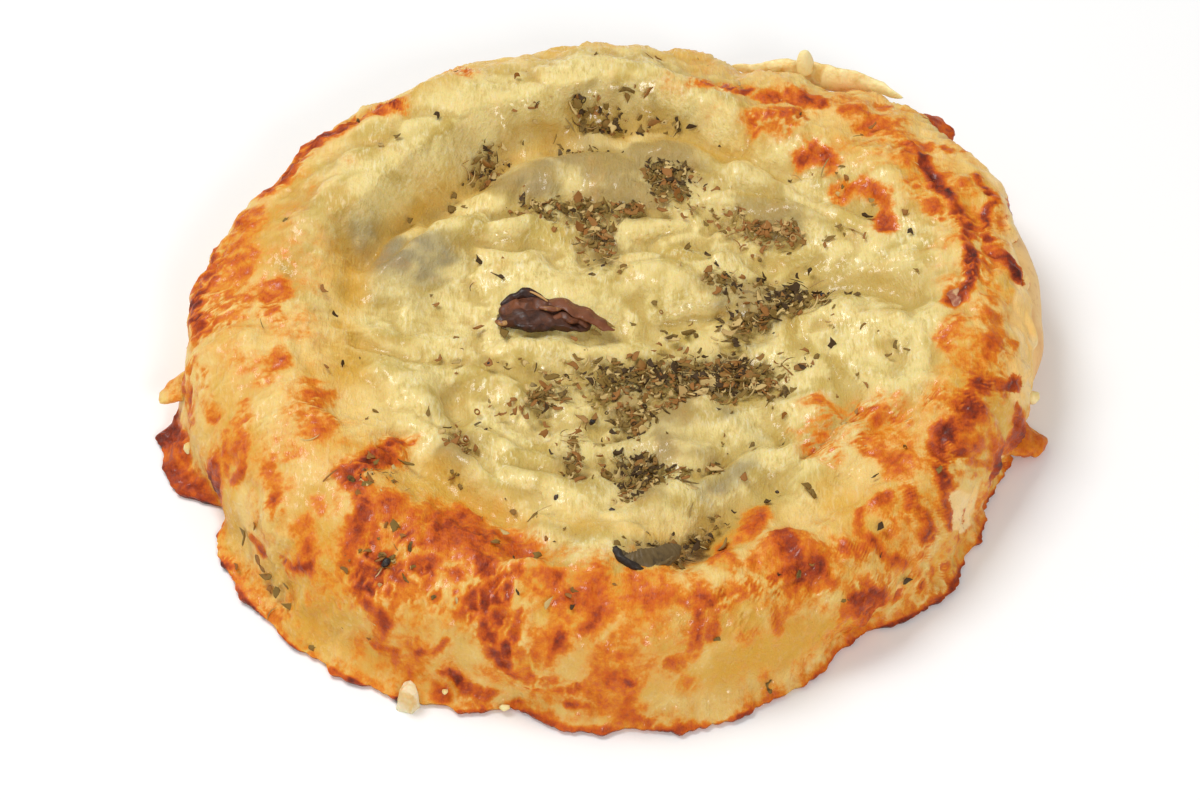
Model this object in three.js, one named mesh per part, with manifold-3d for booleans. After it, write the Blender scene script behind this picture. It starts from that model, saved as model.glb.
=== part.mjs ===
// Mini pizza: a small round bread base with an uneven raised rim, under a blanket of melted cheese
// that sinks into a shallow basin, climbs the rim and, at the front and left, runs down on to the
// baking tray, where it has set as a thin crisp skirt. A dark olive, the end of a mushroom slice and
// a scrap of ham stick out of the cheese, and a crumb and a pale shred cling to its edge.
//
// Units are millimetres and +Z is up. The origin is the middle of the flat underside of the base.
// +Y points to the back, where the rim is highest. Bearings are in degrees, anticlockwise from +X.

import * as THREE from 'three';
import { mergeVertices } from 'three/addons/utils/BufferGeometryUtils.js';
import Module from 'manifold-3d';

const wasm = await Module();
wasm.setup();

const { degToRad, lerp } = THREE.MathUtils;

// ---- Driving dimensions ----

const FIT_GAP = 0.35;             // clearance left between two pieces that touch

const ROUND_STEPS = 64;           // facets round the pizza
const DOUGH_ROWS = 15;            // rings from the middle of the dough to its foot
const CHEESE_ROWS = 26;           // rings from the middle of the cheese to its edge

const RIM_HEIGHT = 16.8;          // mean height of the cheese on the rim's crest
const RIM_RISE_TO_BACK = 2.4;     // the crest is this much higher at the back, and lower in front
const RIM_RISE_TO_LEFT = 0.6;
const RIM_UNEVENNESS = 0.5;       // slow waves along the crest
const FLOOR_HEIGHT = 12;          // height of the cheese in the basin
const FLOOR_RISE_TO_BACK = 0.5;
const CREST_SHARE = 0.38;         // where the crest lies, from the basin's edge to the bulge
const SLOPE_SHARE = 0.55;         // middle of the inner slope, from the basin's edge to the crest
const SLOPE_DROP = 1.6;           // how far the middle of the inner slope lies below the crest
const SHOULDER_SHARE = 0.6;       // where the outer shoulder lies, from the crest to the bulge
const FLAT_SHARES = [0.35, 0.78]; // places on the flat of the basin, as shares of its radius

const BASIN_CENTRE = { x: 3.5, y: -4 };
const BASIN_RADIUS = 37;

const BASIN_CHEESE = 3;           // thickness of cheese and filling in the basin
const CREST_CHEESE = 1.9;         // thickness of cheese on the crest
const SIDE_CHEESE = 1.2;          // thickness of cheese on the side
const SIDE_SHARES = [0.68, 0.32]; // heights of the two places that hold the side's bulge
const FOOT_INSET = 6;             // the flat underside ends this far inside the bulge
const FOOT_CURVE = 1.4;           // the side turns under this far inside the bulge
const SKIRT_THICKNESS = 1.3;
const SKIRT_BLEND = 3;            // the skirt has risen into a plain edge at this height
const EDGE_DEPTH = 0.7;           // the cheese's edge on the side dips this far into the dough
const EDGE_SHARE = 0.08;          // share of the profile over which the edge rounds off
const DOUGH_FOLD_SHARE = 0.5;     // the dough under a fold follows it this much

// Radius of the dough's bulge, by bearing.
const BULGE = [
  [0, 57.4], [12, 58.7], [25, 59.2], [38, 59], [50, 57.6], [60, 55.4], [70, 53], [80, 53.4],
  [91, 54.4], [103, 53], [113, 53.3], [125, 52], [145, 52.8], [165, 54.4], [180, 55.4],
  [205, 55.5], [235, 57], [270, 57.5], [300, 55.4], [320, 54], [338, 52.8], [350, 55.6],
];

// Radius of the skirt's edge on the tray, by bearing. It stands out only where the cheese ran down.
const SKIRT_EDGE = [
  [0, 57.5], [45, 59], [90, 57.5], [150, 55], [184, 58], [190, 61.4], [199, 61.4], [206, 56.6],
  [213, 60.6], [222, 61.9], [232, 63], [248, 63], [259, 60.2], [266, 62.4], [280, 62.9], [291, 60.6],
  [303, 56.3], [316, 58.2], [326, 56.4], [336, 54.6], [345, 55.4],
];

// Height at which the cheese ends on the side, by bearing. Zero is the tray, where the skirt is.
const EDGE_HEIGHT = [
  [0, 12], [10, 12.5], [22, 11], [34, 8], [50, 6], [70, 5], [90, 6], [110, 4.5], [130, 5.5],
  [150, 4], [168, 5], [180, 5.5], [187, 3], [191, 0], [343, 0], [349, 5], [354, 10],
];

// Folds of the cheese, in plan: height above or below the surface, half width and centre line.
const FOLDS = [
  // soft pillows and ridges
  { height: 1.7, width: 5.5, path: [[-10, 4], [3, 7], [13, 8]] },
  { height: 2.4, width: 4.6, path: [[32, 0], [37, -4]] },
  { height: 1.3, width: 3.2, path: [[25, -1], [28, -7]] },
  { height: 1.4, width: 3.6, path: [[31, 12], [36, 7]] },
  { height: 1.6, width: 4.2, path: [[-40, 11], [-33, 15]] },
  { height: 1.5, width: 4.8, path: [[-29, 9], [-20, 13]] },
  { height: 1.6, width: 3.2, path: [[-30, -13], [-22, -21], [-12, -26], [-5, -27]] },
  { height: 1.4, width: 2.6, path: [[-20, -28], [-10, -32], [-3, -33]] },
  { height: 1.9, width: 3.8, path: [[9, -30], [6, -37], [0, -43]] },
  { height: 1.1, width: 3.6, path: [[-8, -40], [-3, -40]] },
  { height: 1.0, width: 5.5, path: [[30, -9], [36, -17]] },
  { height: 1.0, width: 2.2, path: [[-11, -47.5], [-2, -48.5]] },
  { height: 1.2, width: 3.4, path: [[-40, -4], [-36, 4]] },
  { height: 1.0, width: 4.5, path: [[-9, 40], [4, 42]] },
  { height: 1.1, width: 3.0, path: [[24, 17], [31, 17]] },
  { height: 1.3, width: 3.6, path: [[-37, 13], [-31, 22], [-22, 30], [-10, 37], [2, 39]] },
  { height: 2.0, width: 5.0, path: [[36, 16], [40.5, 8], [41.5, -4], [38, -16]] },
  // the rim sags at the back right
  { height: -2.2, width: 7.5, path: [[17, 45], [26, 42], [34, 35]] },
  // creases
  {
    height: -1.7,
    width: 2.3,
    path: [[-33, 8], [-29, 15], [-22, 21], [-15, 27.5], [-4, 34.5], [8, 34], [20, 28], [34, 18]],
  },
  { height: -1.5, width: 1.7, path: [[-21, -14], [-19, -23], [-14, -28], [-4, -30]] },
  { height: -1.3, width: 1.9, path: [[-27, -23], [-20, -33], [-12, -38], [-11, -44]] },
  { height: -1.2, width: 1.7, path: [[-3, 11], [8, 14.5], [16, 13.5], [21, 9]] },
  { height: -1.7, width: 2.4, path: [[9, -46], [13, -38], [16, -34], [20, -30]] },
  { height: -1.2, width: 1.7, path: [[28, 6], [36, 3.5], [41, -1]] },
  { height: -1.0, width: 2.2, path: [[-3, -4], [6, -3], [14, -1]] },
  { height: -1.1, width: 1.9, path: [[-43, 19], [-36, 9], [-34, 2]] },
];

// ---- Surfaces and solids ----

// Value at a bearing, drawn smoothly through a ring of [bearing, value] marks.
function valueAt(marks, bearing) {
  const turn = ((bearing % 360) + 360) % 360;
  const past = marks.filter(([mark]) => mark <= turn).length;
  const [fromMark, fromValue] = marks[(past + marks.length - 1) % marks.length];
  const [toMark, toValue] = marks[past % marks.length];
  const span = ((toMark - fromMark + 360) % 360) || 360;
  const share = (((turn - fromMark) + 360) % 360) / span;
  return lerp(fromValue, toValue, share * share * (3 - 2 * share));
}

// Weights of the control points at u (0 to 1) along a clamped uniform cubic B-spline.
function splineWeights(count, u) {
  const degree = 3;
  const spans = count - degree;
  const knot = (i) => Math.min(Math.max(i - degree, 0), spans);
  const t = Math.min(u * spans, spans - 1e-9);
  let weights = Array.from({ length: count + degree }, (_, i) => (knot(i) <= t && t < knot(i + 1) ? 1 : 0));
  for (let d = 1; d <= degree; d += 1) {
    weights = weights.slice(0, -1).map((weight, i) => {
      const rise = knot(i + d) - knot(i);
      const fall = knot(i + d + 1) - knot(i + 1);
      const left = rise > 0 ? ((t - knot(i)) / rise) * weight : 0;
      const right = fall > 0 ? ((knot(i + d + 1) - t) / fall) * weights[i + 1] : 0;
      return left + right;
    });
  }
  return weights;
}

// Point [radius, height] at u along the spline through a profile's control points.
function profilePoint(controls, u) {
  const weights = splineWeights(controls.length, u);
  const sum = (axis) => controls.reduce((total, point, i) => total + point[axis] * weights[i], 0);
  return [sum(0), sum(1)];
}

// Closed surface of rings, with a single point for the first and the last row. The rows run from
// one pole to the other and the columns run round, so that row direction x column direction is outward.
function closedSurface(rows, columns, pointAt) {
  const positions = [...pointAt(0, 0)];
  for (let row = 1; row < rows; row += 1) {
    for (let column = 0; column < columns; column += 1) {
      positions.push(...pointAt(row, column));
    }
  }
  positions.push(...pointAt(rows, 0));
  const last = positions.length / 3 - 1;
  const ring = (row, column) => 1 + (row - 1) * columns + (column % columns);
  const faces = [];
  for (let column = 0; column < columns; column += 1) {
    faces.push(0, ring(1, column), ring(1, column + 1));
    for (let row = 1; row < rows - 1; row += 1) {
      faces.push(ring(row, column), ring(row + 1, column), ring(row + 1, column + 1));
      faces.push(ring(row, column), ring(row + 1, column + 1), ring(row, column + 1));
    }
    faces.push(ring(rows - 1, column), last, ring(rows - 1, column + 1));
  }
  const geometry = new THREE.BufferGeometry();
  geometry.setAttribute('position', new THREE.Float32BufferAttribute(positions, 3));
  geometry.setIndex(faces);
  return geometry;
}

// The same closed surface with every point moved outward along its normal.
function grown(geometry, distance) {
  const bigger = geometry.clone();
  bigger.computeVertexNormals();
  const position = bigger.getAttribute('position');
  const normal = bigger.getAttribute('normal');
  for (let i = 0; i < position.count; i += 1) {
    const place = new THREE.Vector3().fromBufferAttribute(position, i);
    const outward = new THREE.Vector3().fromBufferAttribute(normal, i);
    position.setXYZ(i, ...place.addScaledVector(outward, distance));
  }
  return bigger;
}

function toSolid(geometry) {
  const bare = new THREE.BufferGeometry();
  bare.setAttribute('position', geometry.getAttribute('position').clone());
  bare.setIndex(geometry.getIndex());
  const merged = mergeVertices(bare);
  return new wasm.Manifold(new wasm.Mesh({
    numProp: 3,
    vertProperties: new Float32Array(merged.getAttribute('position').array),
    triVerts: new Uint32Array(merged.getIndex().array),
  }));
}

function toGeometry(solid) {
  const mesh = solid.getMesh();
  const geometry = new THREE.BufferGeometry();
  geometry.setAttribute('position', new THREE.BufferAttribute(mesh.vertProperties, 3));
  geometry.setIndex(new THREE.BufferAttribute(mesh.triVerts, 1));
  geometry.computeVertexNormals();
  return geometry;
}

// ---- Rim, basin and relief ----

// Sizes of the cross-section at a bearing.
function sectionAt(bearing) {
  const angle = degToRad(bearing);
  const along = BASIN_CENTRE.x * Math.cos(angle) + BASIN_CENTRE.y * Math.sin(angle);
  const across = BASIN_CENTRE.x * Math.sin(angle) - BASIN_CENTRE.y * Math.cos(angle);
  const basin = along + Math.sqrt(BASIN_RADIUS ** 2 - across ** 2);
  const bulge = valueAt(BULGE, bearing);
  const waves = Math.sin(3 * angle + 1.1) + 0.7 * Math.sin(5 * angle + 2.3);
  const slope = RIM_RISE_TO_BACK * Math.sin(angle) - RIM_RISE_TO_LEFT * Math.cos(angle);
  return {
    basin,
    bulge,
    crest: lerp(basin, bulge, CREST_SHARE),
    crestHeight: RIM_HEIGHT + slope + RIM_UNEVENNESS * waves,
    floor: FLOOR_HEIGHT + FLOOR_RISE_TO_BACK * Math.sin(angle),
    skirt: valueAt(SKIRT_EDGE, bearing),
    edge: valueAt(EDGE_HEIGHT, bearing),
  };
}

// Control points of a profile from the middle over the rim's crest to its outer shoulder.
function upperControls(s, floor, crestHeight) {
  return [
    [0, floor],
    ...FLAT_SHARES.map((share) => [share * s.basin, floor]),
    [s.basin, floor + 1],
    [lerp(s.basin, s.crest, SLOPE_SHARE), crestHeight - SLOPE_DROP],
    [s.crest, crestHeight + 0.6],
    [lerp(s.crest, s.bulge, SHOULDER_SHARE), crestHeight - 0.2],
  ];
}

// Control points down the side from the shoulder to the foot, for a body that bulges to a radius.
function sideControls(bulge, crestHeight) {
  return [
    [bulge + 0.3, SIDE_SHARES[0] * crestHeight],
    [bulge + 0.5, SIDE_SHARES[1] * crestHeight],
    [bulge - FOOT_CURVE, 0.5],
    [bulge - FOOT_INSET, 0],
  ];
}

// Control points from the shoulder down to the tray and out to the edge of the skirt.
function skirtControls(side, crestHeight, skirt) {
  return [
    [side + 0.4, SIDE_SHARES[0] * crestHeight],
    [side + 0.8, 3.2],
    [skirt - 1.8, SKIRT_THICKNESS + 0.5],
    [skirt, 0.5 * SKIRT_THICKNESS],
  ];
}

function doughControls(s) {
  const top = s.crestHeight - CREST_CHEESE;
  return [...upperControls(s, s.floor - BASIN_CHEESE, top), ...sideControls(s.bulge, top)];
}

// How far along the dough's profile its side comes down to a height.
function shareAtHeight(controls, height) {
  const steps = 100;
  for (let step = steps; step > steps / 2; step -= 1) {
    if (profilePoint(controls, step / steps)[1] >= height) {
      return step / steps;
    }
  }
  return 0.5;
}

// Point at v along the cheese's outer profile. Where it has run down it ends in the skirt.
// Elsewhere it ends on the side, and its edge rounds off and dips just inside the dough.
function cheesePoint(s, v) {
  const side = s.bulge + SIDE_CHEESE;
  const upper = upperControls(s, s.floor, s.crestHeight);
  const onSkirt = profilePoint([...upper, ...skirtControls(side, s.crestHeight, s.skirt)], v);
  const dough = doughControls(s);
  const u = v * shareAtHeight(dough, s.edge);
  const cover = profilePoint([...upper, ...sideControls(side, s.crestHeight)], u);
  const under = profilePoint(dough, u);
  const rounding = Math.max((v - 1 + EDGE_SHARE) / EDGE_SHARE, 0);
  const reach = 1 - Math.sqrt(1 - rounding ** 2);
  const onSide = [
    lerp(cover[0], under[0] - EDGE_DEPTH, reach),
    lerp(cover[1], under[1], reach),
  ];
  const runs = 1 - THREE.MathUtils.smoothstep(s.edge, 0, SKIRT_BLEND);
  return [lerp(onSide[0], onSkirt[0], runs), lerp(onSide[1], onSkirt[1], runs)];
}

// Distance in plan from a point to a centre line.
function distanceToPath(x, y, path) {
  const steps = path.slice(1).map(([endX, endY], i) => {
    const [startX, startY] = path[i];
    const alongX = endX - startX;
    const alongY = endY - startY;
    const share = ((x - startX) * alongX + (y - startY) * alongY) / (alongX ** 2 + alongY ** 2);
    const held = Math.min(Math.max(share, 0), 1);
    return Math.hypot(x - startX - held * alongX, y - startY - held * alongY);
  });
  return Math.min(...steps);
}

// Sum of all folds at a point in plan. Each is a bell-shaped ridge or furrow.
function foldsAt(x, y) {
  const heights = FOLDS.map(({ height, width, path }) => {
    return height * Math.exp(-((distanceToPath(x, y, path) / width) ** 2));
  });
  return heights.reduce((total, height) => total + height, 0);
}

function bearingOf(column) {
  return (360 * column) / ROUND_STEPS;
}

function placed(bearing, radius, height) {
  const angle = degToRad(bearing);
  return [radius * Math.cos(angle), radius * Math.sin(angle), height];
}

// The same point raised or sunk by a share of the folds, which fade out down the side.
function folded([x, y, height], share) {
  const onTop = THREE.MathUtils.smoothstep(height, 6, 9);
  return [x, y, height + share * onTop * foldsAt(x, y)];
}

// ---- Dough ----

function makeDough() {
  return closedSurface(DOUGH_ROWS + 1, ROUND_STEPS, (row, column) => {
    if (row > DOUGH_ROWS) {
      return [0, 0, 0];
    }
    const bearing = bearingOf(column);
    const [radius, height] = profilePoint(doughControls(sectionAt(bearing)), row / DOUGH_ROWS);
    return folded(placed(bearing, radius, height), DOUGH_FOLD_SHARE);
  });
}

// ---- Cheese ----

// The cheese as a full cap, closed underneath by a floor that lies on the tray below the skirt
// and inside the dough everywhere else.
function makeCap() {
  const rows = CHEESE_ROWS + 3;
  return closedSurface(rows, ROUND_STEPS, (row, column) => {
    if (row === rows) {
      return [0, 0, 2];
    }
    const bearing = bearingOf(column);
    const section = sectionAt(bearing);
    if (row > CHEESE_ROWS) {
      const [edgeRadius] = cheesePoint(section, 1);
      const inset = row === CHEESE_ROWS + 1 ? 0.7 : 2 * FOOT_INSET;
      return placed(bearing, edgeRadius - inset, Math.max(section.edge - 0.5, 0));
    }
    const [radius, height] = cheesePoint(section, row / CHEESE_ROWS);
    return folded(placed(bearing, radius, height), 1);
  });
}

// A lump of cheese that stands out of the side: an ellipsoid, longest outward or along the side.
function makeLump({ bearing, radius, height, length, width, thickness, turn }) {
  const lump = new THREE.SphereGeometry(0.5, 10, 6);
  lump.scale(length, width, thickness);
  lump.rotateZ(degToRad(bearing + turn));
  lump.translate(...placed(bearing, radius, height));
  return lump;
}

const LUMPS = [
  // burnt knobs at the back right
  { bearing: 42, radius: 58.6, height: 10, length: 4.5, width: 6, thickness: 4, turn: 0 },
  { bearing: 33, radius: 58.2, height: 9.5, length: 4, width: 7, thickness: 3.6, turn: 0 },
  // browned spike at the right
  { bearing: 346.5, radius: 55.2, height: 1.8, length: 9, width: 6.4, thickness: 2.6, turn: -4 },
  // flap at the left
  { bearing: 188.5, radius: 56.5, height: 6.2, length: 6.4, width: 6, thickness: 2.6, turn: 0 },
];

// ---- Toppings ----

// Dark olive: a wrinkled wedge, fat at its left end and drawn out to a point at the right.
const OLIVE = {
  start: [-15.2, 0.6, 12.9],
  end: [-0.2, -2.6, 12.6],
  halfWidth: 3.9,
  halfHeight: 2.3,
};

function makeOlive() {
  const start = new THREE.Vector3(...OLIVE.start);
  const end = new THREE.Vector3(...OLIVE.end);
  const side = new THREE.Vector3(0, 0, 1).cross(end.clone().sub(start)).normalize();
  const rows = 12;
  const columns = 16;
  return closedSurface(rows, columns, (row, column) => {
    const along = row / rows;
    const around = (2 * Math.PI * column) / columns;
    const fullness = Math.sin(Math.PI * along ** 0.62) ** 0.75;
    const wrinkle = 1 + 0.12 * Math.cos(3 * around + 2.6 * along) + 0.06 * Math.cos(5 * around);
    const spine = start.clone().lerp(end, along);
    spine.z += 0.6 * Math.sin(Math.PI * along);
    spine.addScaledVector(side, 0.6 * Math.sin(Math.PI * along));
    spine.addScaledVector(side, OLIVE.halfWidth * fullness * wrinkle * Math.sin(around));
    spine.z += OLIVE.halfHeight * fullness * wrinkle * Math.cos(around);
    return spine.toArray();
  });
}

// End of a mushroom slice: a bent tongue that curls up out of the crease at the front.
const MUSHROOM = {
  centre: [4.6, -41.2, 14.4],
  reach: 5.3,
  halfWidth: 1.9,
  halfThickness: 0.9,
};

function makeMushroom() {
  const rows = 12;
  const columns = 8;
  const sweep = degToRad(110);
  return closedSurface(rows, columns, (row, column) => {
    const along = row / rows;
    const bend = degToRad(-90) + sweep * (along - 0.5);
    const around = (2 * Math.PI * column) / columns;
    const fullness = Math.sin(Math.PI * along) ** 0.5;
    const outward = MUSHROOM.halfWidth * fullness * Math.sin(around);
    const upward = MUSHROOM.halfThickness * fullness * Math.cos(around);
    const reach = MUSHROOM.reach - outward;
    return [
      MUSHROOM.centre[0] + reach * Math.cos(bend),
      MUSHROOM.centre[1] + reach * Math.sin(bend),
      MUSHROOM.centre[2] + upward - 0.3 * outward,
    ];
  });
}

// Scrap of ham: a small flat bit with an uneven outline, pressed into the cheese on the right rim.
const HAM = {
  centre: [46.1, -1.4, 16.3],
  halfLength: 4,
  halfWidth: 2.7,
  halfThickness: 0.8,
};

function makeHam() {
  const rows = 6;
  const columns = 14;
  const scrap = closedSurface(rows, columns, (row, column) => {
    const down = (Math.PI * row) / rows;
    const around = (2 * Math.PI * column) / columns;
    const outline = 1 + 0.12 * Math.sin(2 * around + 0.6) + 0.08 * Math.cos(5 * around);
    const spread = Math.sin(down) ** 0.6 * outline;
    return [
      HAM.halfWidth * spread * Math.cos(around),
      HAM.halfLength * spread * Math.sin(around),
      HAM.halfThickness * Math.cos(down),
    ];
  });
  scrap.rotateY(degToRad(-6));
  scrap.rotateZ(degToRad(12));
  scrap.translate(...HAM.centre);
  return scrap;
}

// White crumb that stands on the tray against the skirt at the front left.
const CRUMB = { centre: [-25.3, -57.2], halfWidth: 1.4, halfDepth: 1.7, height: 2.9 };

function makeCrumb() {
  const rows = 5;
  const columns = 10;
  return closedSurface(rows, columns, (row, column) => {
    const down = row / rows;
    const around = (2 * Math.PI * column) / columns;
    const spread = row === 0 || row === rows ? 0 : 0.74 + 0.26 * down + 0.1 * Math.cos(3 * around + 1);
    const height = CRUMB.height * (1 - THREE.MathUtils.smoothstep(down, 0.1, 0.85));
    return [
      CRUMB.centre[0] + CRUMB.halfWidth * spread * Math.cos(around),
      CRUMB.centre[1] + CRUMB.halfDepth * spread * Math.sin(around),
      height,
    ];
  });
}

// Pale shred of cheese that has slipped down the outside of the rim at the back right.
const SHRED = {
  from: 47, to: 72, standOff: 2.6, height: 10.4, riseToRight: 1.6, halfHeight: 2.2, halfThickness: 1.1,
};

function makeShred() {
  const rows = 12;
  const columns = 8;
  return closedSurface(rows, columns, (row, column) => {
    const along = row / rows;
    const around = (2 * Math.PI * column) / columns;
    const fullness = Math.sin(Math.PI * along) ** 0.7;
    const bearing = lerp(SHRED.from, SHRED.to, along);
    const middle = sectionAt(bearing).bulge + SHRED.standOff;
    const radius = middle - SHRED.halfThickness * fullness * Math.sin(around);
    const height = SHRED.height + SHRED.riseToRight * (1 - along) + SHRED.halfHeight * fullness * Math.cos(around);
    return placed(bearing, radius, height);
  });
}

// ---- The pizza ----

// Each piece's surface as a mesh with its own finish.
function addPiece(group, name, geometry, colour, roughness) {
  geometry.computeVertexNormals();
  const material = new THREE.MeshStandardMaterial({ color: colour, roughness, metalness: 0 });
  const mesh = new THREE.Mesh(geometry, material);
  mesh.name = name;
  group.add(mesh);
}

function makePizza() {
  const dough = makeDough();
  const toppings = [
    { name: 'olive', geometry: makeOlive(), colour: '#53231b', roughness: 0.35 },
    { name: 'mushroom_slice', geometry: makeMushroom(), colour: '#4b3f35', roughness: 0.5 },
    { name: 'ham_scrap', geometry: makeHam(), colour: '#bd8a66', roughness: 0.4 },
    { name: 'cheese_crumb', geometry: makeCrumb(), colour: '#efe0b8', roughness: 0.6 },
    { name: 'cheese_shred', geometry: makeShred(), colour: '#f6e3a4', roughness: 0.45 },
  ];
  let cheese = toSolid(makeCap());
  for (const lump of LUMPS) {
    cheese = cheese.add(toSolid(makeLump(lump)));
  }
  for (const piece of [dough, ...toppings.map(({ geometry }) => geometry)]) {
    cheese = cheese.subtract(toSolid(grown(piece, FIT_GAP)));
  }
  const pizza = new THREE.Group();
  addPiece(pizza, 'dough', dough, '#f6c878', 0.7);
  addPiece(pizza, 'cheese', toGeometry(cheese), '#e6c883', 0.4);
  for (const { name, geometry, colour, roughness } of toppings) {
    addPiece(pizza, name, geometry, colour, roughness);
  }
  return pizza;
}

export default makePizza();
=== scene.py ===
import math

import bpy
import numpy as np
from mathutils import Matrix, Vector
from mathutils.bvhtree import BVHTree


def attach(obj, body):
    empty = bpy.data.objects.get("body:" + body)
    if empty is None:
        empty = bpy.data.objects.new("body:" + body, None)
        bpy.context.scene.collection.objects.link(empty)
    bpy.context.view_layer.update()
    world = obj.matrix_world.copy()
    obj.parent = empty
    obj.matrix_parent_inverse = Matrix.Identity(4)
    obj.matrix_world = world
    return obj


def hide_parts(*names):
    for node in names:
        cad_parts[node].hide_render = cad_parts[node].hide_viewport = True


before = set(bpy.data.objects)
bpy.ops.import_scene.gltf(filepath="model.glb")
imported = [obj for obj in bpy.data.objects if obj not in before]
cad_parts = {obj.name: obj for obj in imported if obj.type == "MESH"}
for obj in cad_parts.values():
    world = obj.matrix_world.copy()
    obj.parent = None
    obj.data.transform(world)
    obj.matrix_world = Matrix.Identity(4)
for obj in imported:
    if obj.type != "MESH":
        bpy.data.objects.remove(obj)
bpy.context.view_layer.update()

bl_info = {
    "name": "Mini Pizza",
    "version": (1, 0, 0),
    "blender": (4, 5, 0),
    "location": "3D View > Sidebar > Mini Pizza",
    "description": "Builds the crust, melted cheese and toppings of a mini pizza round its packed frame",
    "category": "Add Mesh",
}

MM = 0.001

# ---- Sizes of the pizza's cross-section, in millimetres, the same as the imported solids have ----

RIM_HEIGHT = 16.8
RIM_RISE_TO_BACK = 2.4
RIM_RISE_TO_LEFT = 0.6
RIM_UNEVENNESS = 0.5
FLOOR_HEIGHT = 12
FLOOR_RISE_TO_BACK = 0.5
CREST_SHARE = 0.38
SLOPE_SHARE = 0.55
SLOPE_DROP = 1.6
SHOULDER_SHARE = 0.6
FLAT_SHARES = (0.35, 0.78)
BASIN_CENTRE = (3.5, -4)
BASIN_RADIUS = 37
BASIN_CHEESE = 3
CREST_CHEESE = 1.9
SIDE_CHEESE = 1.2
SIDE_SHARES = (0.68, 0.32)
FOOT_INSET = 6
FOOT_CURVE = 1.4
SKIRT_THICKNESS = 1.3
SKIRT_BLEND = 3
EDGE_DEPTH = 0.7
EDGE_SHARE = 0.08
DOUGH_FOLD_SHARE = 0.5
MEAN_RADIUS = 57
TABLE_STEP = 3.0

# Limits of the cheese's relief, in mm: the least height over the tray, and the height above which peaks
# are pressed softly together, with how far they may still rise.
TRAY_GAP = 0.05
PEAK_HEIGHT = 19.6
PEAK_ROOM = 0.9

# ---- Numbers of rings and columns of each mesh ----

DOUGH_MESH = (70, 300)
CHEESE_STEPS = 296
TONGUE_MESH = (64, 32)
LUMP_MESH = (40, 28)
HAM_MESH = (40, 90)
CRUMB_MESH = (36, 48)
SHRED_MESH = (90, 36)
NUB_MESH = (24, 20)
NUGGET_MESH = (9, 12)
PEPPER_MESH = (7, 9)
LEAF_MESH = (5, 7)
STEM_MESH = (7, 5)
HUSK_MESH = (9, 5)

# ---- Sizes round the pizza ----

# Radius of the dough's bulge, radius of the skirt's edge and height of the cheese's edge, by bearing
# in degrees anticlockwise from +X.
BULGE = [
    (0, 57.4), (12, 58.7), (25, 59.2), (38, 59), (50, 57.6), (60, 55.4), (70, 53), (80, 53.4),
    (91, 54.4), (103, 53), (113, 53.3), (125, 52), (145, 52.8), (165, 54.4), (180, 55.4),
    (205, 55.5), (235, 57), (270, 57.5), (300, 55.4), (320, 54), (338, 52.8), (350, 55.6),
]
SKIRT_EDGE = [
    (0, 57.5), (45, 59), (90, 57.5), (150, 55), (184, 58), (190, 61.4), (199, 61.4), (206, 56.6),
    (213, 60.6), (222, 61.9), (232, 63), (248, 63), (259, 60.2), (266, 62.4), (280, 62.9),
    (291, 60.6), (303, 56.3), (316, 58.2), (326, 56.4), (336, 54.6), (345, 55.4),
]
EDGE_HEIGHT = [
    (0, 12), (10, 12.5), (22, 11), (34, 8), (50, 6), (70, 5), (90, 6), (110, 4.5), (130, 5.5),
    (150, 4), (168, 5), (180, 5.5), (187, 3), (191, 0), (343, 0), (349, 5), (354, 10),
]

# Folds in plan: height in mm, half width in mm, centre line. The dough follows only the broad ones.
BROAD_FOLDS = [
    (1.7, 5.5, [(-10, 4), (3, 7), (13, 8)]),
    (2.4, 4.6, [(32, 0), (37, -4)]),
    (1.3, 3.2, [(25, -1), (28, -7)]),
    (1.4, 3.6, [(31, 12), (36, 7)]),
    (1.6, 4.2, [(-40, 11), (-33, 15)]),
    (1.5, 4.8, [(-29, 9), (-20, 13)]),
    (1.6, 3.2, [(-30, -13), (-22, -21), (-12, -26), (-5, -27)]),
    (1.4, 2.6, [(-20, -28), (-10, -32), (-3, -33)]),
    (1.9, 3.8, [(9, -30), (6, -37), (0, -43)]),
    (1.1, 3.6, [(-8, -40), (-3, -40)]),
    (1.0, 5.5, [(30, -9), (36, -17)]),
    (1.0, 2.2, [(-11, -47.5), (-2, -48.5)]),
    (1.2, 3.4, [(-40, -4), (-36, 4)]),
    (1.0, 4.5, [(-9, 40), (4, 42)]),
    (1.1, 3.0, [(24, 17), (31, 17)]),
    (1.3, 3.6, [(-37, 13), (-31, 22), (-22, 30), (-10, 37), (2, 39)]),
    (2.0, 5.0, [(36, 16), (40.5, 8), (41.5, -4), (38, -16)]),
    (-2.2, 7.5, [(17, 45), (26, 42), (34, 35)]),
    (-1.7, 2.3, [(-33, 8), (-29, 15), (-22, 21), (-15, 27.5), (-4, 34.5), (8, 34), (20, 28), (34, 18)]),
    (-1.5, 1.7, [(-21, -14), (-19, -23), (-14, -28), (-4, -30)]),
    (-1.3, 1.9, [(-27, -23), (-20, -33), (-12, -38), (-11, -44)]),
    (-1.2, 1.7, [(-3, 11), (8, 14.5), (16, 13.5), (21, 9)]),
    (-1.7, 2.4, [(9, -46), (13, -38), (16, -34), (20, -30)]),
    (-1.2, 1.7, [(28, 6), (36, 3.5), (41, -1)]),
    (-1.0, 2.2, [(-3, -4), (6, -3), (14, -1)]),
    (-1.1, 1.9, [(-43, 19), (-36, 9), (-34, 2)]),
]
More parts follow.
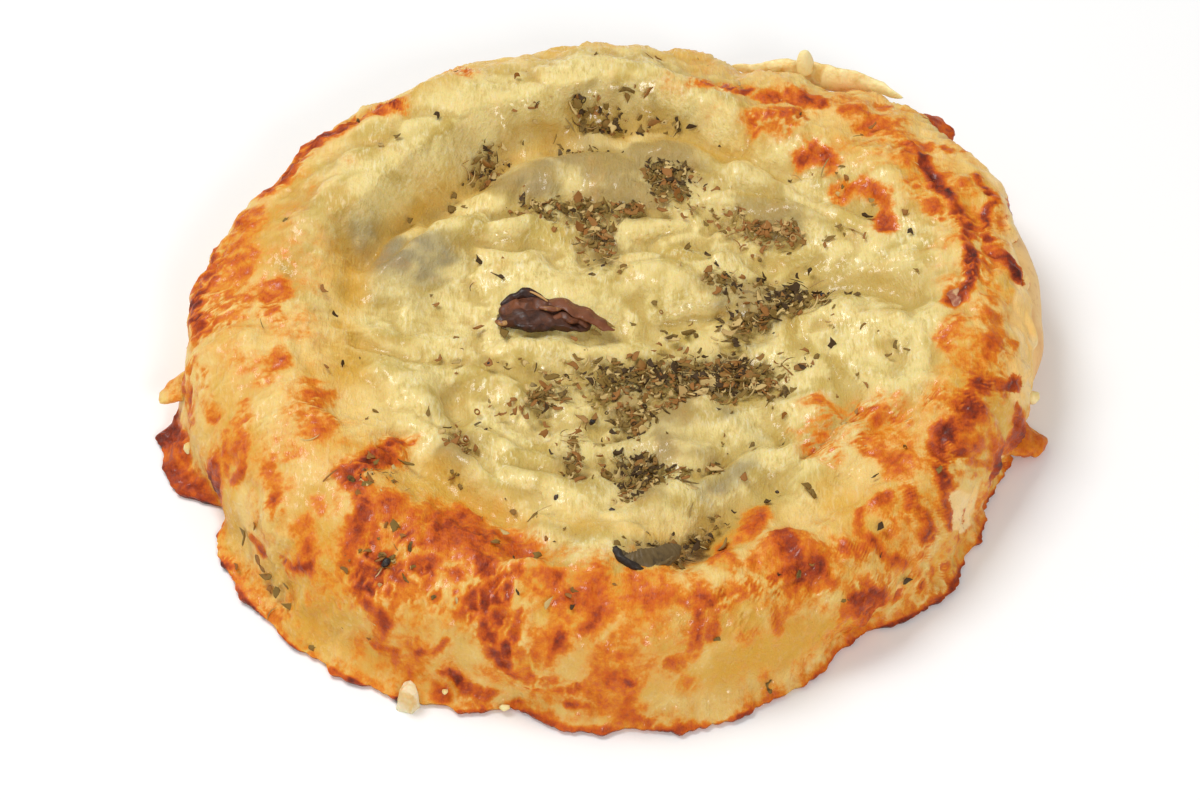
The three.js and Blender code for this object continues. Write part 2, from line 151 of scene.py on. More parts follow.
FINE_FOLDS = [
    (0.5, 3.0, [(-34, 12), (-30, 20), (-22, 27), (-14, 33), (-2, 38), (9, 38), (17, 35)]),
    (1.3, 4.0, [(-29, 5), (-24, 14), (-16, 21), (-9, 28), (0, 30.5), (10, 29.5), (20, 24), (28, 18)]),
    (-1.1, 1.5, [(-33, 9), (-31, 13), (-27, 18.5), (-22, 22.5), (-17, 28), (-10, 34), (0, 36), (8, 36),
                 (14, 33), (20, 30), (27, 26)]),
    (0.7, 1.3, [(-34, -3), (-27, -6), (-20, -5)]),
    (-0.6, 1.0, [(-33, -6), (-26, -9), (-17, -8)]),
    (0.6, 1.4, [(-16, -4), (-8, -6), (0, -7)]),
    (-0.7, 1.1, [(-15, -9), (-6, -11), (0, -10)]),
    (0.6, 1.3, [(14, 10), (20, 12), (26, 11)]),
    (-0.6, 1.0, [(16, 6), (23, 7), (28, 10)]),
    (0.8, 1.6, [(20, -16), (27, -19), (33, -24)]),
    (-0.8, 1.2, [(19, -20), (25, -24), (30, -30)]),
    (0.6, 1.2, [(-12, -14), (-5, -17), (3, -16)]),
    (0.7, 1.3, [(-14, 15), (-9, 20), (-8, 25)]),
    (-0.6, 1.0, [(-17, 16), (-13, 21), (-12, 24)]),
    (0.6, 1.2, [(10, 20), (16, 23), (18, 29)]),
    (-0.6, 0.9, [(13, 17), (19, 21), (23, 20)]),
    (0.7, 1.3, [(38, -5), (41, -10), (40, -16)]),
    (-0.7, 1.0, [(35, -6), (37, -11), (36, -17)]),
    (0.7, 1.2, [(-6, -36), (0, -38), (4, -42)]),
    (0.6, 1.3, [(-27, 1), (-22, 6), (-15, 8)]),
]

# ---- Browning and other colour marks: strength, half width in mm, centre line ----

# In plan, on the top.
TOP_BROWNING = [
    (1.0, 2.2, [(-46, 22), (-43, 28), (-37, 33), (-31, 35)]),
    (1.0, 1.7, [(-53, 12), (-55, 4), (-54.5, -4)]),
    (0.55, 2.6, [(-50, 10), (-51, -3)]),
    (0.7, 2.0, [(-45, 2), (-45, -4)]),
    (0.5, 2.0, [(-49, 14), (-50, 18)]),
    (0.6, 1.6, [(-48, -21), (-48, -27)]),
    (0.5, 2.2, [(-38, -18), (-37, -25)]),
    (0.5, 1.5, [(-43, -12), (-44, -17)]),
    (1.0, 1.5, [(-27, -24), (-30, -29), (-33, -33), (-31, -36)]),
    (0.95, 2.0, [(-31, -36), (-30, -43), (-28, -47), (-22, -48)]),
    (0.7, 2.4, [(-28, -38), (-24, -43)]),
    (0.85, 4.2, [(-20, -40), (-15, -44)]),
    (0.9, 2.0, [(-16, -47), (-14, -52)]),
    (0.7, 2.8, [(-7, -51.5), (-2, -52)]),
    (0.7, 1.6, [(5, -53), (12, -52), (17, -49)]),
    (0.6, 1.6, [(12, -47), (20, -46)]),
    (1.0, 1.7, [(21.5, -41), (24.5, -50)]),
    (0.6, 2.6, [(21, -44), (23, -50)]),
    (0.75, 1.2, [(29, -43), (37, -41.5)]),
    (0.75, 1.0, [(31, -36), (31.5, -39)]),
    (0.85, 1.2, [(39, -35.5), (40, -39)]),
    (0.85, 1.4, [(43, -31), (42.5, -35)]),
    (1.05, 1.3, [(43.5, -23), (41.5, -29)]),
    (0.9, 1.2, [(46.5, -31), (46.5, -35)]),
    (0.6, 3.0, [(33, -20), (36, -29)]),
    (0.55, 1.6, [(26, -17), (30, -21)]),
    (0.45, 1.6, [(25, -22), (28, -26)]),
    (0.8, 1.2, [(50, -7), (49, -12)]),
    (0.95, 1.3, [(46.6, -19), (44.2, -22.2)]),
    (0.6, 1.2, [(44, -10), (45, -7)]),
    (1.2, 1.2, [(45.8, -3), (47.5, 4.5), (48, 7.5), (46.8, 15.6), (44.5, 20), (43, 26.5)]),
    (1.1, 0.9, [(49.4, 23.4), (51.6, 19.5), (49.8, 11), (54, 4)]),
    (0.42, 2.4, [(48, -14), (50, 0), (49, 12), (46, 22)]),
    (0.7, 1.3, [(44, 15), (41, 21)]),
    (0.75, 1.3, [(31.5, 23), (34, 21.8), (36.5, 19.2), (36.8, 15)]),
    (0.85, 1.3, [(26, 29), (30, 27)]),
    (0.6, 2.0, [(20, 34), (26, 36)]),
    (0.85, 1.3, [(12, 40.5), (20, 41), (29, 40)]),
    (0.6, 1.5, [(33, 38), (37, 33)]),
    (0.75, 2.0, [(40, 27), (43, 31)]),
    (0.4, 1.6, [(-21, 45), (-20, 41)]),
    (0.6, 1.5, [(18.5, -35), (17, -39), (13, -45)]),
]
# On the side: bearing in degrees, which is about a millimetre there, and height in mm.
SIDE_BROWNING = [
    (1.0, 1.5, [(190, 1.4), (203, 1.2)]),
    (1.0, 1.2, [(189, 2.6), (197, 3)]),
    (0.75, 1.5, [(189, 10), (196, 8)]),
    (0.5, 1.0, [(190, 12.2), (200, 12)]),
    (0.7, 1.2, [(182, 4), (188, 2.4)]),
    (0.65, 1.2, [(205, 12.4), (208, 10)]),
    (0.85, 1.0, [(211, 12), (210.5, 9.8)]),
    (0.5, 1.2, [(214, 15), (218, 13.6)]),
    (0.75, 0.8, [(219.5, 12.6), (220.5, 12)]),
    (0.5, 1.4, [(225, 12.4), (229, 11)]),
    (0.85, 0.6, [(226.6, 11.5), (227.4, 11.3)]),
    (0.95, 0.9, [(225, 8), (229, 9.8)]),
    (0.65, 0.9, [(218, 6.2), (220, 5.8)]),
    (0.95, 2.0, [(233, 15), (240, 12.5)]),
    (0.9, 1.2, [(236, 12), (241, 9)]),
    (0.8, 1.6, [(243, 15.5), (247, 14)]),
    (0.95, 3.2, [(251, 15.6), (257, 11)]),
    (0.95, 1.4, [(254, 11.4), (257.4, 7.4)]),
    (0.8, 0.9, [(246, 6.4), (249.5, 8.8)]),
    (0.6, 0.8, [(240.6, 5), (243, 5)]),
    (0.9, 0.8, [(250, 4.2), (256, 2.2)]),
    (0.85, 0.8, [(263.4, 11), (262.6, 9)]),
    (0.8, 0.8, [(266, 12.2), (268, 13.4)]),
    (0.55, 1.2, [(262, 6), (267, 4)]),
    (0.85, 0.6, [(265, 2.6), (267, 2.4)]),
    (0.75, 0.9, [(271, 7.6), (273, 6.8)]),
    (0.4, 0.5, [(270, 9), (271, 10.4), (273.5, 10.2), (275, 8), (274, 6), (270, 6.4), (269.6, 8.4)]),
    (0.75, 1.1, [(283, 15.5), (281, 13), (279.5, 9)]),
    (0.75, 0.8, [(292.4, 14), (291, 9)]),
    (1.05, 1.9, [(294, 15.6), (299, 12)]),
    (0.6, 0.7, [(303, 14.5), (305.4, 14.2)]),
    (0.8, 0.6, [(303.6, 8.6), (306, 8.6)]),
    (0.8, 0.9, [(308, 14), (309, 11), (311, 8.8)]),
    (0.75, 0.7, [(313.5, 8.6), (315, 7)]),
    (1.0, 1.3, [(318, 13.4), (316.4, 9.4)]),
    (1.0, 1.2, [(325, 13.8), (322.8, 12), (321.6, 9)]),
    (0.6, 0.6, [(306.6, 6.4), (309.4, 3.8)]),
    (0.6, 0.9, [(313.4, 4), (320, 2.4)]),
    (0.9, 1.3, [(328, 14.2), (333, 12)]),
    (0.85, 0.7, [(330, 12), (338, 2.2)]),
    (0.7, 0.5, [(333, 9.6), (340, 2.4)]),
    (0.55, 0.5, [(336.4, 8.4), (343, 2.4)]),
    (0.6, 0.6, [(326, 12.4), (330, 9.6)]),
    (0.9, 1.4, [(341, 15), (346, 12.6)]),
    (0.8, 0.8, [(342, 0.8), (352, 1.4)]),
    (0.6, 0.9, [(362, 13.4), (368, 11.6)]),
    (0.65, 0.7, [(374, 13), (374.6, 11.4), (378, 10.4)]),
    (0.9, 1.1, [(380, 13.4), (384, 11.4), (390, 10)]),
    (0.8, 0.8, [(392, 14), (396, 12), (398, 9.6)]),
    (0.95, 1.2, [(396, 9.4), (404, 9)]),
]
# Clear golden pools, on the side and in plan. In plan the gold also paints shade along creases: under the
# back rim's overhang, in valleys and below the fronts of pillows.
SIDE_OIL = [
    (1.0, 3.2, [(284, 6), (292, 6.6), (300, 6)]),
    (0.8, 2.2, [(262, 14), (266, 13)]),
    (0.7, 2.0, [(230, 4), (240, 3), (250, 2)]),
    (0.7, 1.6, [(204, 3), (212, 4)]),
    (0.6, 2.4, [(256, 4), (259, 8)]),
    (0.7, 2.0, [(303, 5), (312, 6)]),
    (0.6, 2.0, [(268, 8), (276, 9)]),
]
TOP_OIL_AND_SHADE = [
    # Painted shade along the crease under the back rim's overhang.
    (0.35, 1.3, [(-32, 9), (-28, 16), (-22, 22), (-15, 28.5), (-4, 35.5), (8, 35), (18, 30)]),
    (0.6, 5.5, [(-49, 9), (-41, 7)]),
    (0.5, 4.0, [(-44, 16), (-38, 4)]),
    (0.8, 3.0, [(-8, -50), (4, -51)]),
    (0.8, 1.6, [(-10, -39), (-4, -42)]),
    (0.9, 2.4, [(13, -46), (16, -38), (20, -33)]),
    (0.7, 1.8, [(-22, -29), (-13, -36)]),
    (0.8, 2.0, [(28, 7), (36, 5), (42, 1)]),
    (0.5, 1.5, [(-26, -3), (-24, -2)]),
    (0.5, 1.4, [(28, 10), (31, 9)]),
    (0.5, 3.5, [(-30, -6), (-36, -12)]),
]
# Dark filling that shows through the cheese, and painted shade in valleys, in creases and beside the
# mushroom: strength, half width and centre line, in plan.
FILLING_AND_SHADE_MARKS = [
    (0.95, 4.2, [(-31, 9.6), (-25, 8.4)]),
    (0.4, 3.0, [(-30, 4), (-25, 2.5)]),
    (0.5, 2.0, [(-12, 24), (-8, 21)]),
    (0.4, 2.0, [(-9, 27), (-6, 29)]),
    (0.6, 2.4, [(15, 1), (19, -4)]),
    (0.5, 2.2, [(21, 16), (24, 15)]),
    (0.7, 1.9, [(15, -18), (19, -22)]),
    (0.5, 2.2, [(10, -13), (17, -11)]),
    (0.35, 2.0, [(3, -39), (7, -37)]),
    (0.9, 1.6, [(8.6, -44), (12.5, -39.5), (15.5, -34)]),
    (0.5, 2.0, [(5, -22), (6, -28)]),
    (0.75, 1.8, [(18, -26), (15, -30), (12, -33)]),
]
# Pale unbrowned cheese beyond the basin, in plan.
FRESH_TONGUES = [
    (1.0, 4.0, [(-9, -42), (-6, -45), (1, -45.5)]),
    (1.0, 6.5, [(-37, 15), (-30, 25), (-20, 33), (-8, 40), (4, 42), (14, 38)]),
    (0.7, 4.0, [(-40, 0), (-41, 10)]),
    (1.0, 5.0, [(24, 29), (33, 21), (39, 10), (41, -3), (37, -14)]),
]
# Places on the side where the cheese is so thin that the dough shows.
BARE_PATCHES = [
    (1.0, 3.4, [(347, 11.4), (358, 12.4), (372, 12.4), (392, 11)]),
    (1.0, 2.4, [(323.6, 8.6), (327, 6)]),
    (1.0, 1.2, [(325, 5), (328, 3.4)]),
    (0.9, 1.2, [(333.6, 6.4), (336, 3.4)]),
    (0.7, 0.9, [(337.6, 6), (340, 3)]),
    (0.7, 1.0, [(304.6, 5.4), (306, 3.6)]),
    (0.6, 0.8, [(309.6, 6), (310.6, 4.4)]),
]

# How much of each there is, by bearing: light browning all over the rim, width in mm of the burnt line on
# the skirt's edge, browning of the cheese's edge above the bare dough, oily glaze outside the crest, and
# height of the pillows on the rim.
RIM_BROWNING = [
    (0, 0.24), (45, 0.26), (72, 0.12), (95, 0.02), (135, 0.02), (165, 0.15), (200, 0.16), (230, 0.22),
    (262, 0.5), (290, 0.42), (330, 0.24),
]
BURNT_LINE = [
    (180, 0.8), (190, 1.4), (205, 0.5), (255, 0.45), (271, 1.3), (279, 1.2), (290, 0.6), (340, 0.7),
]
LEDGE_BROWNING = [(0, 0.6), (45, 1.1), (70, 0.5), (100, 0.2), (150, 0.9), (180, 0.8)]
GLAZE = [(0, 0.1), (60, 0.05), (180, 0.15), (205, 0.45), (240, 0.55), (290, 0.6), (335, 0.35)]
RIM_PILLOWS = [(0, 0.4), (90, 0.5), (150, 0.62), (200, 0.62), (235, 0.35), (330, 0.3)]

# Where the olive and the mushroom lie, in plan: the cheese is calmer there.
OLIVE_BED = [(-13, 0), (-3, -1.5)]
MUSHROOM_BED = [(0.5, -45), (2, -48), (8.5, -46)]

# Tongues of cheese that stand out of the side: bearing, radius and height along each, half widths, half
# thicknesses, roll in degrees, roughness of form in mm and colour masks.
SIDE_LUMPS = [
    ([(41, 54, 11), (40.6, 58.4, 11.2), (40.2, 61.6, 10)], [3.0, 3.2, 2.0], [2.0, 2.0, 1.2], 8, 0.9,
     {"brown": 0.86}),
    ([(33, 54, 10), (33, 58, 9.8), (33.4, 60.4, 8.8)], [3.4, 3.4, 2.2], [1.8, 1.8, 1.0], -6, 0.9,
     {"brown": 0.9}),
    ([(347, 50, 2.8), (346.6, 54.6, 2.2), (346.2, 59.2, 1.2)], [4.0, 3.4, 1.3], [1.5, 1.3, 0.7], -4, 0.7,
     {"brown": 0.5, "oil_and_shade": 0.6}),
    ([(188.5, 51.5, 8.4), (188.5, 56.4, 6.8), (188.8, 60.2, 5.8)],
     [3.6, 3.0, 0.9], [1.4, 1.3, 0.6], 0, 0.6, {"brown": 0.22, "oil_and_shade": 0.3}),
]

# Herb clumps in plan: middle, half length, half width, turn in degrees, share of the bits, and tone,
# which is below 0 for darker ones and above for browner ones. The last three are bits strewn wide.
HERB_CLUMPS = [
    (-16.5, 28, 2.2, 1.0, 35, 14, -0.2), (-12, 27, 3.4, 1.5, 10, 26, 0.3),
    (-11.5, 22.2, 3.8, 1.7, -30, 32, 0), (-2.6, 30, 2.8, 1.5, 0, 32, -0.25),
    (7.6, 28.6, 2.6, 2.4, 0, 44, -0.3), (2.5, 25.4, 6.5, 3.0, 8, 100, 0),
    (2.4, 22, 3.0, 1.6, 0, 22, 0.1), (-2, 15.4, 4.4, 1.3, 100, 36, 0), (-1, 35.5, 3.2, 1.3, 0, 20, 0),
    (8.4, 35.2, 3.4, 0.5, 0, 6, 0), (21.4, 17.6, 4.6, 2.6, -30, 62, 0.35),
    (15.4, 4.6, 1.9, 1.3, 0, 16, 0), (20, 4, 1.5, 1.2, 60, 12, -0.2),
    (23.4, 3.2, 2.2, 1.0, 50, 16, -0.3), (18, -1.4, 2.4, 2.0, 60, 18, 0),
    (8, -11.6, 8.4, 2.2, 0, 140, -0.1), (15.6, -11, 1.9, 1.8, 0, 40, -0.15),
    (-8.4, -15, 2.4, 1.3, 40, 14, 0.2), (1.6, -17.4, 2.2, 1.2, 0, 12, 0.1),
    (8, -18, 2.4, 1.8, 0, 20, 0), (5, -24, 3.6, 3.4, 90, 76, -0.1), (4.5, -27, 1.2, 1.2, 0, 16, -0.4),
    (3.6, -32.4, 2.6, 2.0, 0, 34, -0.1), (-19.8, -25.4, 2.6, 1.0, 100, 24, 0.2),
    (-5, -28, 0.9, 3.2, 0, 12, 0), (12.6, -27.6, 1.6, 1.2, 40, 8, 0), (26, 1.6, 2.6, 1.2, 20, 10, -0.2),
    (20.6, -13.4, 1.8, 1.0, -50, 8, 0), (-29.6, -35, 1.8, 3.2, 0, 16, -0.1),
    (-29, -45, 2.4, 3.0, 20, 7, 0), (3.6, -43.6, 2.4, 1.0, 20, 12, -0.2),
    (10.6, -41, 3.6, 0.7, 55, 16, -0.3), (16, 24.4, 3.2, 1.8, 0, 8, 0), (27, 24, 2.6, 1.4, 0, 6, 0.2),
    (4, 3, 26, 30, 0, 36, 0), (-2, -20, 22, 18, 0, 28, 0), (4, 24, 18, 10, 0, 14, 0),
]
# Single leaf bits in plan, by tone from 0, dark, over 0.4, green, to 0.9, brown: x, y and length.
SINGLE_BITS = {
    0.05: [
        (-23.7, 30.7, 1.6), (-15, 6.5, 2.0), (4, 34.5, 1.4), (26.5, 23, 1.3), (34.5, 16, 2.2),
        (28, 2.3, 1.4), (-2.5, -19.5, 1.2), (-36.5, -3, 1.1), (-35, -11, 1.1), (19.5, 27, 1.2),
        (14, 8, 1.2), (40, 11.5, 1.2), (23.6, 5, 1.5),
    ],
    0.35: [
        (10, -3, 3.4), (-29, 26.3, 1.4), (-21.5, 22.7, 1.2), (-27.3, 17.2, 1.3), (13.5, 27.5, 1.4),
        (24, 11.5, 1.3), (7, -3, 1.6), (-2, 30, 2.2), (37, -9, 1.3), (35, -6, 1.1), (16.5, 9, 1.2),
        (18, -24, 1.4), (13.5, 24, 1.2), (27, -14.5, 1.3),
    ],
    0.85: [
        (-19, 26, 1.3), (-13, 39.3, 1.6), (-10.7, 35.2, 1.3), (-13.3, 33.8, 1.1), (-7.8, 16.3, 1.4),
        (-10, 6, 1.2), (-17.7, -2.7, 1.9), (5, 38, 2.0), (11, 26.5, 1.2), (23, 24, 1.9),
        (29, 23.5, 1.5), (23, 12.5, 1.2), (39.5, 15, 1.2), (32.5, 13.5, 1.1), (34, 12, 1.2),
        (-38, 0.3, 1.4), (-37, -13, 1.3), (-16, -9, 1.5), (17.5, 6.5, 1.2), (27.5, 4, 1.3),
        (25, -1, 1.3), (29.5, -2, 1.2), (-8.5, -20.5, 1.4), (-4.3, -21.5, 1.2), (-7, -17, 1.5),
        (-12.5, -18, 1.4), (-11, -19, 1.6), (-14, -18.5, 1.3), (33, -15, 1.2), (20, -14.5, 1.2),
        (13, -28, 1.3), (-1.5, -26, 1.4), (-1, -29, 1.2), (3, -35, 1.4), (-4.4, -27, 2.4),
        (-4.2, -31, 2.2),
    ],
}
# Single stems in plan: x, y, length and turn in degrees.
SINGLE_STEMS = [
    (11.3, 5, 4.0, 15), (5.5, 16.3, 2.6, 60), (3, 17, 1.8, 130), (16.5, 24.5, 2.0, 20),
    (26.5, 24.5, 2.2, -40), (20.5, -13, 3.2, -35), (-8.5, -36, 2.2, 20), (-9, -33, 1.8, 100),
    (19.5, 8.5, 1.6, 30), (-10.5, 1.4, 2.0, -30),
]
# One seed husk in plan: x, y, length, turn in radians, tone and straw.
SINGLE_HUSK = (-4.3, -29, 1.6, 1.5, 0.8, 0.6)
# Bits on the side: bearing, height, length, turn in degrees and tone. Pale needles have the pale tone.
SIDE_BITS = [
    (216, 6, 2.4, 50, 0.55), (239, 14, 1.4, 20, 0.3), (240.5, 8, 1.5, 70, 0.3),
    (235, 5.6, 1.8, 100, 0.5), (234, 4.6, 1.8, 110, 0.4), (236, 6, 1.3, 60, 0.7),
    (245, 9.5, 1.4, 30, 0.7), (246, 8.5, 1.1, 90, 0.75), (222, 4, 2.2, 130, 0.6),
    (224.5, 3.4, 1.8, 20, 0.5), (227, 3, 1.7, 140, 0.4), (220, 5.4, 1.5, 60, 0.8),
    (231, 2.2, 1.4, 10, 0.4), (232.5, 1.4, 1.5, 160, 0.6), (238, 3.4, 1.5, 0, 0.7),
    (226, 5.6, 1.2, 90, 0.5), (239.5, 5, 1.5, 30, 0.8), (221, 4.6, 1.4, 80, 0.75),
    (223, 2.8, 1.3, 40, 0.9), (233.4, 5.2, 1.4, 95, 0.9), (235.4, 8.8, 2.6, 62, 2),
    (241, 7.4, 3.6, 64, 2), (246.4, 12.6, 1.4, 20, 0.3), (218, 9, 1.2, 110, 0.7),
    (296, 13, 1.4, 80, 0.3), (311, 2.6, 1.5, 60, 0.05), (283, 10.4, 1.0, 40, 0.35),
    (301, 9.4, 1.0, 40, 0.35),
]
PALE_TONE = 2
# Clumps longer than this half length, in mm, are bits strewn wide, and do not stain the cheese.
LOOSE_LENGTH = 12
# Peppercorn bits in plan: x, y and radius.
PEPPER_BITS = [
    (-9, -31.5, 0.55), (-7, -34.2, 0.42), (-28, -46, 0.6), (0, -36.5, 0.38), (-2.5, -19.5, 0.36),
    (28, 2.3, 0.4), (21, -31.5, 0.25), (-16, -9, 0.3),
]
# Nuggets of cheese: bearing, radius and height of the middle, and half sizes.
NUGGETS = [
    (257.2, 60.2, 1.0, 0.7, 0.4, 0.45), (250.0, 60.6, 2.0, 0.4, 0.4, 0.3),
    (196.5, 57.6, 3.4, 0.9, 0.8, 1.0), (350.0, 56.4, 6.4, 0.9, 0.8, 1.0),
    (347.0, 55.6, 7.4, 0.7, 0.7, 0.7),
]

# ---- Screen colours of details ----

DOUGH_SPECKLE = (0.84, 0.56, 0.28)
FLOURY_DOUGH = (0.96, 0.86, 0.66)
DEEP_CURD = (0.78, 0.68, 0.35)
# Painted shade in creases of the basin, painted shade between the fibres, and painted highlight on the
# fibres.
CREASE_SHADE_CURD = (0.76, 0.65, 0.34)
FIBRE_SHADE = (0.72, 0.62, 0.3)
FIBRE_HIGHLIGHT = (0.98, 0.95, 0.78)
OLIVE_BLACK = (0.17, 0.085, 0.055)
OLIVE_STRAW = (0.78, 0.6, 0.36)
MUSHROOM_TIP = (0.17, 0.13, 0.1)
MUSHROOM_EDGE = (0.76, 0.66, 0.46)
HAM_BROWN = (0.6, 0.3, 0.16)
HAM_FAT = (0.84, 0.7, 0.5)
PEPPER_DARK = (0.1, 0.08, 0.07)
PEPPER_LIGHT = (0.3, 0.22, 0.16)
PALE_SHADE = (0.93, 0.84, 0.66)
ROOM_COLOUR = (1, 0.99, 0.97, 1)

# ---- Places and sizes in metres: start of the rays that find the cheese, camera, lights and floor ----

RAY_HEIGHT = 0.05
CAMERA_PLACE = (-0.0015, -0.3715, 0.3677)
CAMERA_TILT = 45
CAMERA_LENS = 116.4
CAMERA_SENSOR = 36
CAMERA_NEAR = 0.01
KEY_PLACE = (-0.32, 0.2, 0.66)
KEY_SIZE = 0.36
FILL_PLACE = (0.2, -0.65, 0.45)
FILL_SIZE = 0.2
FLOOR_HALF = 3.0


# ---- Numbers ----
# Every noise has a seed of its own, so that no two are alike.

def lerp(start, end, share):
    return start + (end - start) * share


def smooth(value, low, high):
    """Rises smoothly from 0 at low to 1 at high."""
    share = np.clip((value - low) / (high - low), 0, 1)
    return share * share * (3 - 2 * share)


def hashed(cell, seed):
    """Three numbers in -1..1 for each lattice cell, from an integer hash of its place."""
    code = (cell[..., 0] * 73856093) ^ (cell[..., 1] * 19349663) ^ (cell[..., 2] * 83492791)
    code = code ^ (seed * 50331653)
    code = ((code ^ (code >> 15)) * 0x2C1B3C6D) & 0xFFFFFFFF
    code = ((code ^ (code >> 12)) * 0x297A2D39) & 0xFFFFFFFF
    code = code ^ (code >> 15)
    return np.stack([code & 1023, (code >> 10) & 1023, (code >> 20) & 1023], -1) / 511.5 - 1


def noise(points, size, seed):
    """Smooth noise of about -1..1: random slopes on a lattice, blended with a quintic fade."""
    place = points / size
    cell = np.floor(place).astype(np.int64)
    part = place - cell
    fade = part ** 3 * (part * (part * 6 - 15) + 10)
    total = 0
    for corner in np.ndindex(2, 2, 2):
        offset = np.array(corner)
        weight = np.prod(np.where(offset, fade, 1 - fade), axis=-1)
        total = total + weight * np.sum(hashed(cell + offset, seed) * (part - offset), axis=-1)
    return 1.5 * total


def layered(points, size, seed, layers=3):
    """Sum of noises, each half the size and half the height of the one before."""
    return sum(noise(points, size / 2 ** i, seed + i) / 2 ** i for i in range(layers))


def pushes(points, size, seeds, layers):
    """A vector for each point that pushes it about: one layered noise for each direction."""
    return np.stack([layered(points, size, seed, layers) for seed in seeds], -1)


def pillows(points, size, seed):
    """Rounded pillows of 0..1 with creases between them: a root of noise squared, softened at 0."""
    return (noise(points, size, seed) ** 2 + 0.0025) ** 0.36


def spots(points, size, seed):
    """Distance to the nearest of one random spot in each lattice cell, as a share of the size."""
    place = points / size
    cell = np.floor(place).astype(np.int64)
    nearest = np.full(place.shape[:-1], 9.0)
    for step in np.ndindex(3, 3, 3):
        near = cell + np.array(step) - 1
        spot = near + 0.5 + 0.45 * hashed(near, seed)
        nearest = np.minimum(nearest, np.linalg.norm(place - spot, axis=-1))
    return nearest


def path_distance(x, y, path):
    """Distance to a centre line: the least over its steps."""
    nearest = np.full(np.shape(x), 1e9)
    for (ax, ay), (bx, by) in zip(path, path[1:]):
        dx, dy = bx - ax, by - ay
        share = np.clip(((x - ax) * dx + (y - ay) * dy) / (dx * dx + dy * dy), 0, 1)
        nearest = np.minimum(nearest, np.hypot(x - ax - share * dx, y - ay - share * dy))
    return nearest


def fold_height(x, y, folds):
    """Sum of all folds: each its height times a bell of the distance over its half width."""
    reaches = [path_distance(x, y, path) / width for _, width, path in folds]
    return sum(fold[0] * np.exp(-reach ** 2) for fold, reach in zip(folds, reaches))


def strongest(x, y, marks, power=2.6):
    """Strongest mark at each point: strength times a flat-topped bell of distance over half width."""
    level = np.zeros(np.shape(x))
    for strength, width, path in marks:
        reach = path_distance(x, y, path) / width
        level = np.maximum(level, strength * np.exp(-0.7 * reach ** power))
    return level


# ---- Cross-section ----

def value_at(marks, bearing):
    """Value at each bearing, drawn smoothly through a ring of (bearing, value) marks."""
    marks = np.array(marks, float)
    turn = np.mod(bearing, 360)
    past = np.searchsorted(marks[:, 0], turn, side="right")
    low, high = marks[(past - 1) % len(marks)], marks[past % len(marks)]
    share = np.mod(turn - low[..., 0], 360) / np.mod(high[..., 0] - low[..., 0], 360)
    return lerp(low[..., 1], high[..., 1], smooth(share, 0, 1))


def spline(controls, u):
    """Radius and height at u along a clamped uniform cubic B-spline, by the Cox-de Boor recursion."""
    count = len(controls)
    knots = np.clip(np.arange(count + 4) - 3, 0, count - 3)
    t = np.minimum(u * (count - 3), count - 3 - 1e-9)
    weights = [((knots[i] <= t) & (t < knots[i + 1])).astype(float) for i in range(count + 3)]
    for d in (1, 2, 3):
        raised = []
        for i in range(len(weights) - 1):
            rise, fall = knots[i + d] - knots[i], knots[i + d + 1] - knots[i + 1]
            left = (t - knots[i]) / rise * weights[i] if rise else 0
            right = (knots[i + d + 1] - t) / fall * weights[i + 1] if fall else 0
            raised.append(left + right)
        weights = raised
    return [sum(weight * control[axis] for weight, control in zip(weights, controls)) for axis in (0, 1)]


def ring_points(bearing, radius=MEAN_RADIUS):
    """Points on a circle, on which noise closes as it goes round."""
    angle = np.radians(bearing)
    return np.stack([radius * np.cos(angle), radius * np.sin(angle), 0 * angle], -1)


def section_at(bearing, ragged=0.0):
    """Sizes of the cross-section at each bearing. Ragged adds noise to the skirt's and cheese's edge."""
    angle = np.radians(bearing)
    cx, cy = BASIN_CENTRE
    along = cx * np.cos(angle) + cy * np.sin(angle)
    across = cx * np.sin(angle) - cy * np.cos(angle)
    basin = along + np.sqrt(BASIN_RADIUS ** 2 - across ** 2)
    bulge = value_at(BULGE, bearing)
    waves = np.sin(3 * angle + 1.1) + 0.7 * np.sin(5 * angle + 2.3)
    slope = RIM_RISE_TO_BACK * np.sin(angle) - RIM_RISE_TO_LEFT * np.cos(angle)
    skirt, edge = value_at(SKIRT_EDGE, bearing), value_at(EDGE_HEIGHT, bearing)
    if ragged:
        circle = ring_points(bearing)
        jag = 0.9 * noise(circle, 4.6, 41) + 0.5 * noise(circle, 2.1, 42)
        jag = jag + 0.75 * np.abs(noise(circle, 1.4, 43))
        skirt = skirt + ragged * (jag - 0.35)
        wander = 1.6 * noise(circle, 8, 44) + 0.9 * noise(circle, 3, 45)
        edge = np.where(edge > 0, np.maximum(edge + ragged * smooth(edge, 0, 3) * wander, 0.2), edge)
    return {
        "basin": basin, "bulge": bulge, "skirt": skirt, "edge": edge,
        "crest": lerp(basin, bulge, CREST_SHARE),
        "top": RIM_HEIGHT + slope + RIM_UNEVENNESS * waves,
        "floor": FLOOR_HEIGHT + FLOOR_RISE_TO_BACK * np.sin(angle),
    }


def upper_controls(s, floor, top):
    """Control points from the middle over the rim's crest to its outer shoulder."""
    return [
        (0 * s["basin"], floor),
        *[(share * s["basin"], floor) for share in FLAT_SHARES],
        (s["basin"], floor + 1),
        (lerp(s["basin"], s["crest"], SLOPE_SHARE), top - SLOPE_DROP),
        (s["crest"], top + 0.6),
        (lerp(s["crest"], s["bulge"], SHOULDER_SHARE), top - 0.2),
    ]


def side_controls(bulge, top):
    """Control points down the side from the shoulder to the foot."""
    return [
        (bulge + 0.3, SIDE_SHARES[0] * top), (bulge + 0.5, SIDE_SHARES[1] * top),
        (bulge - FOOT_CURVE, 0 * top + 0.5), (bulge - FOOT_INSET, 0 * top),
    ]


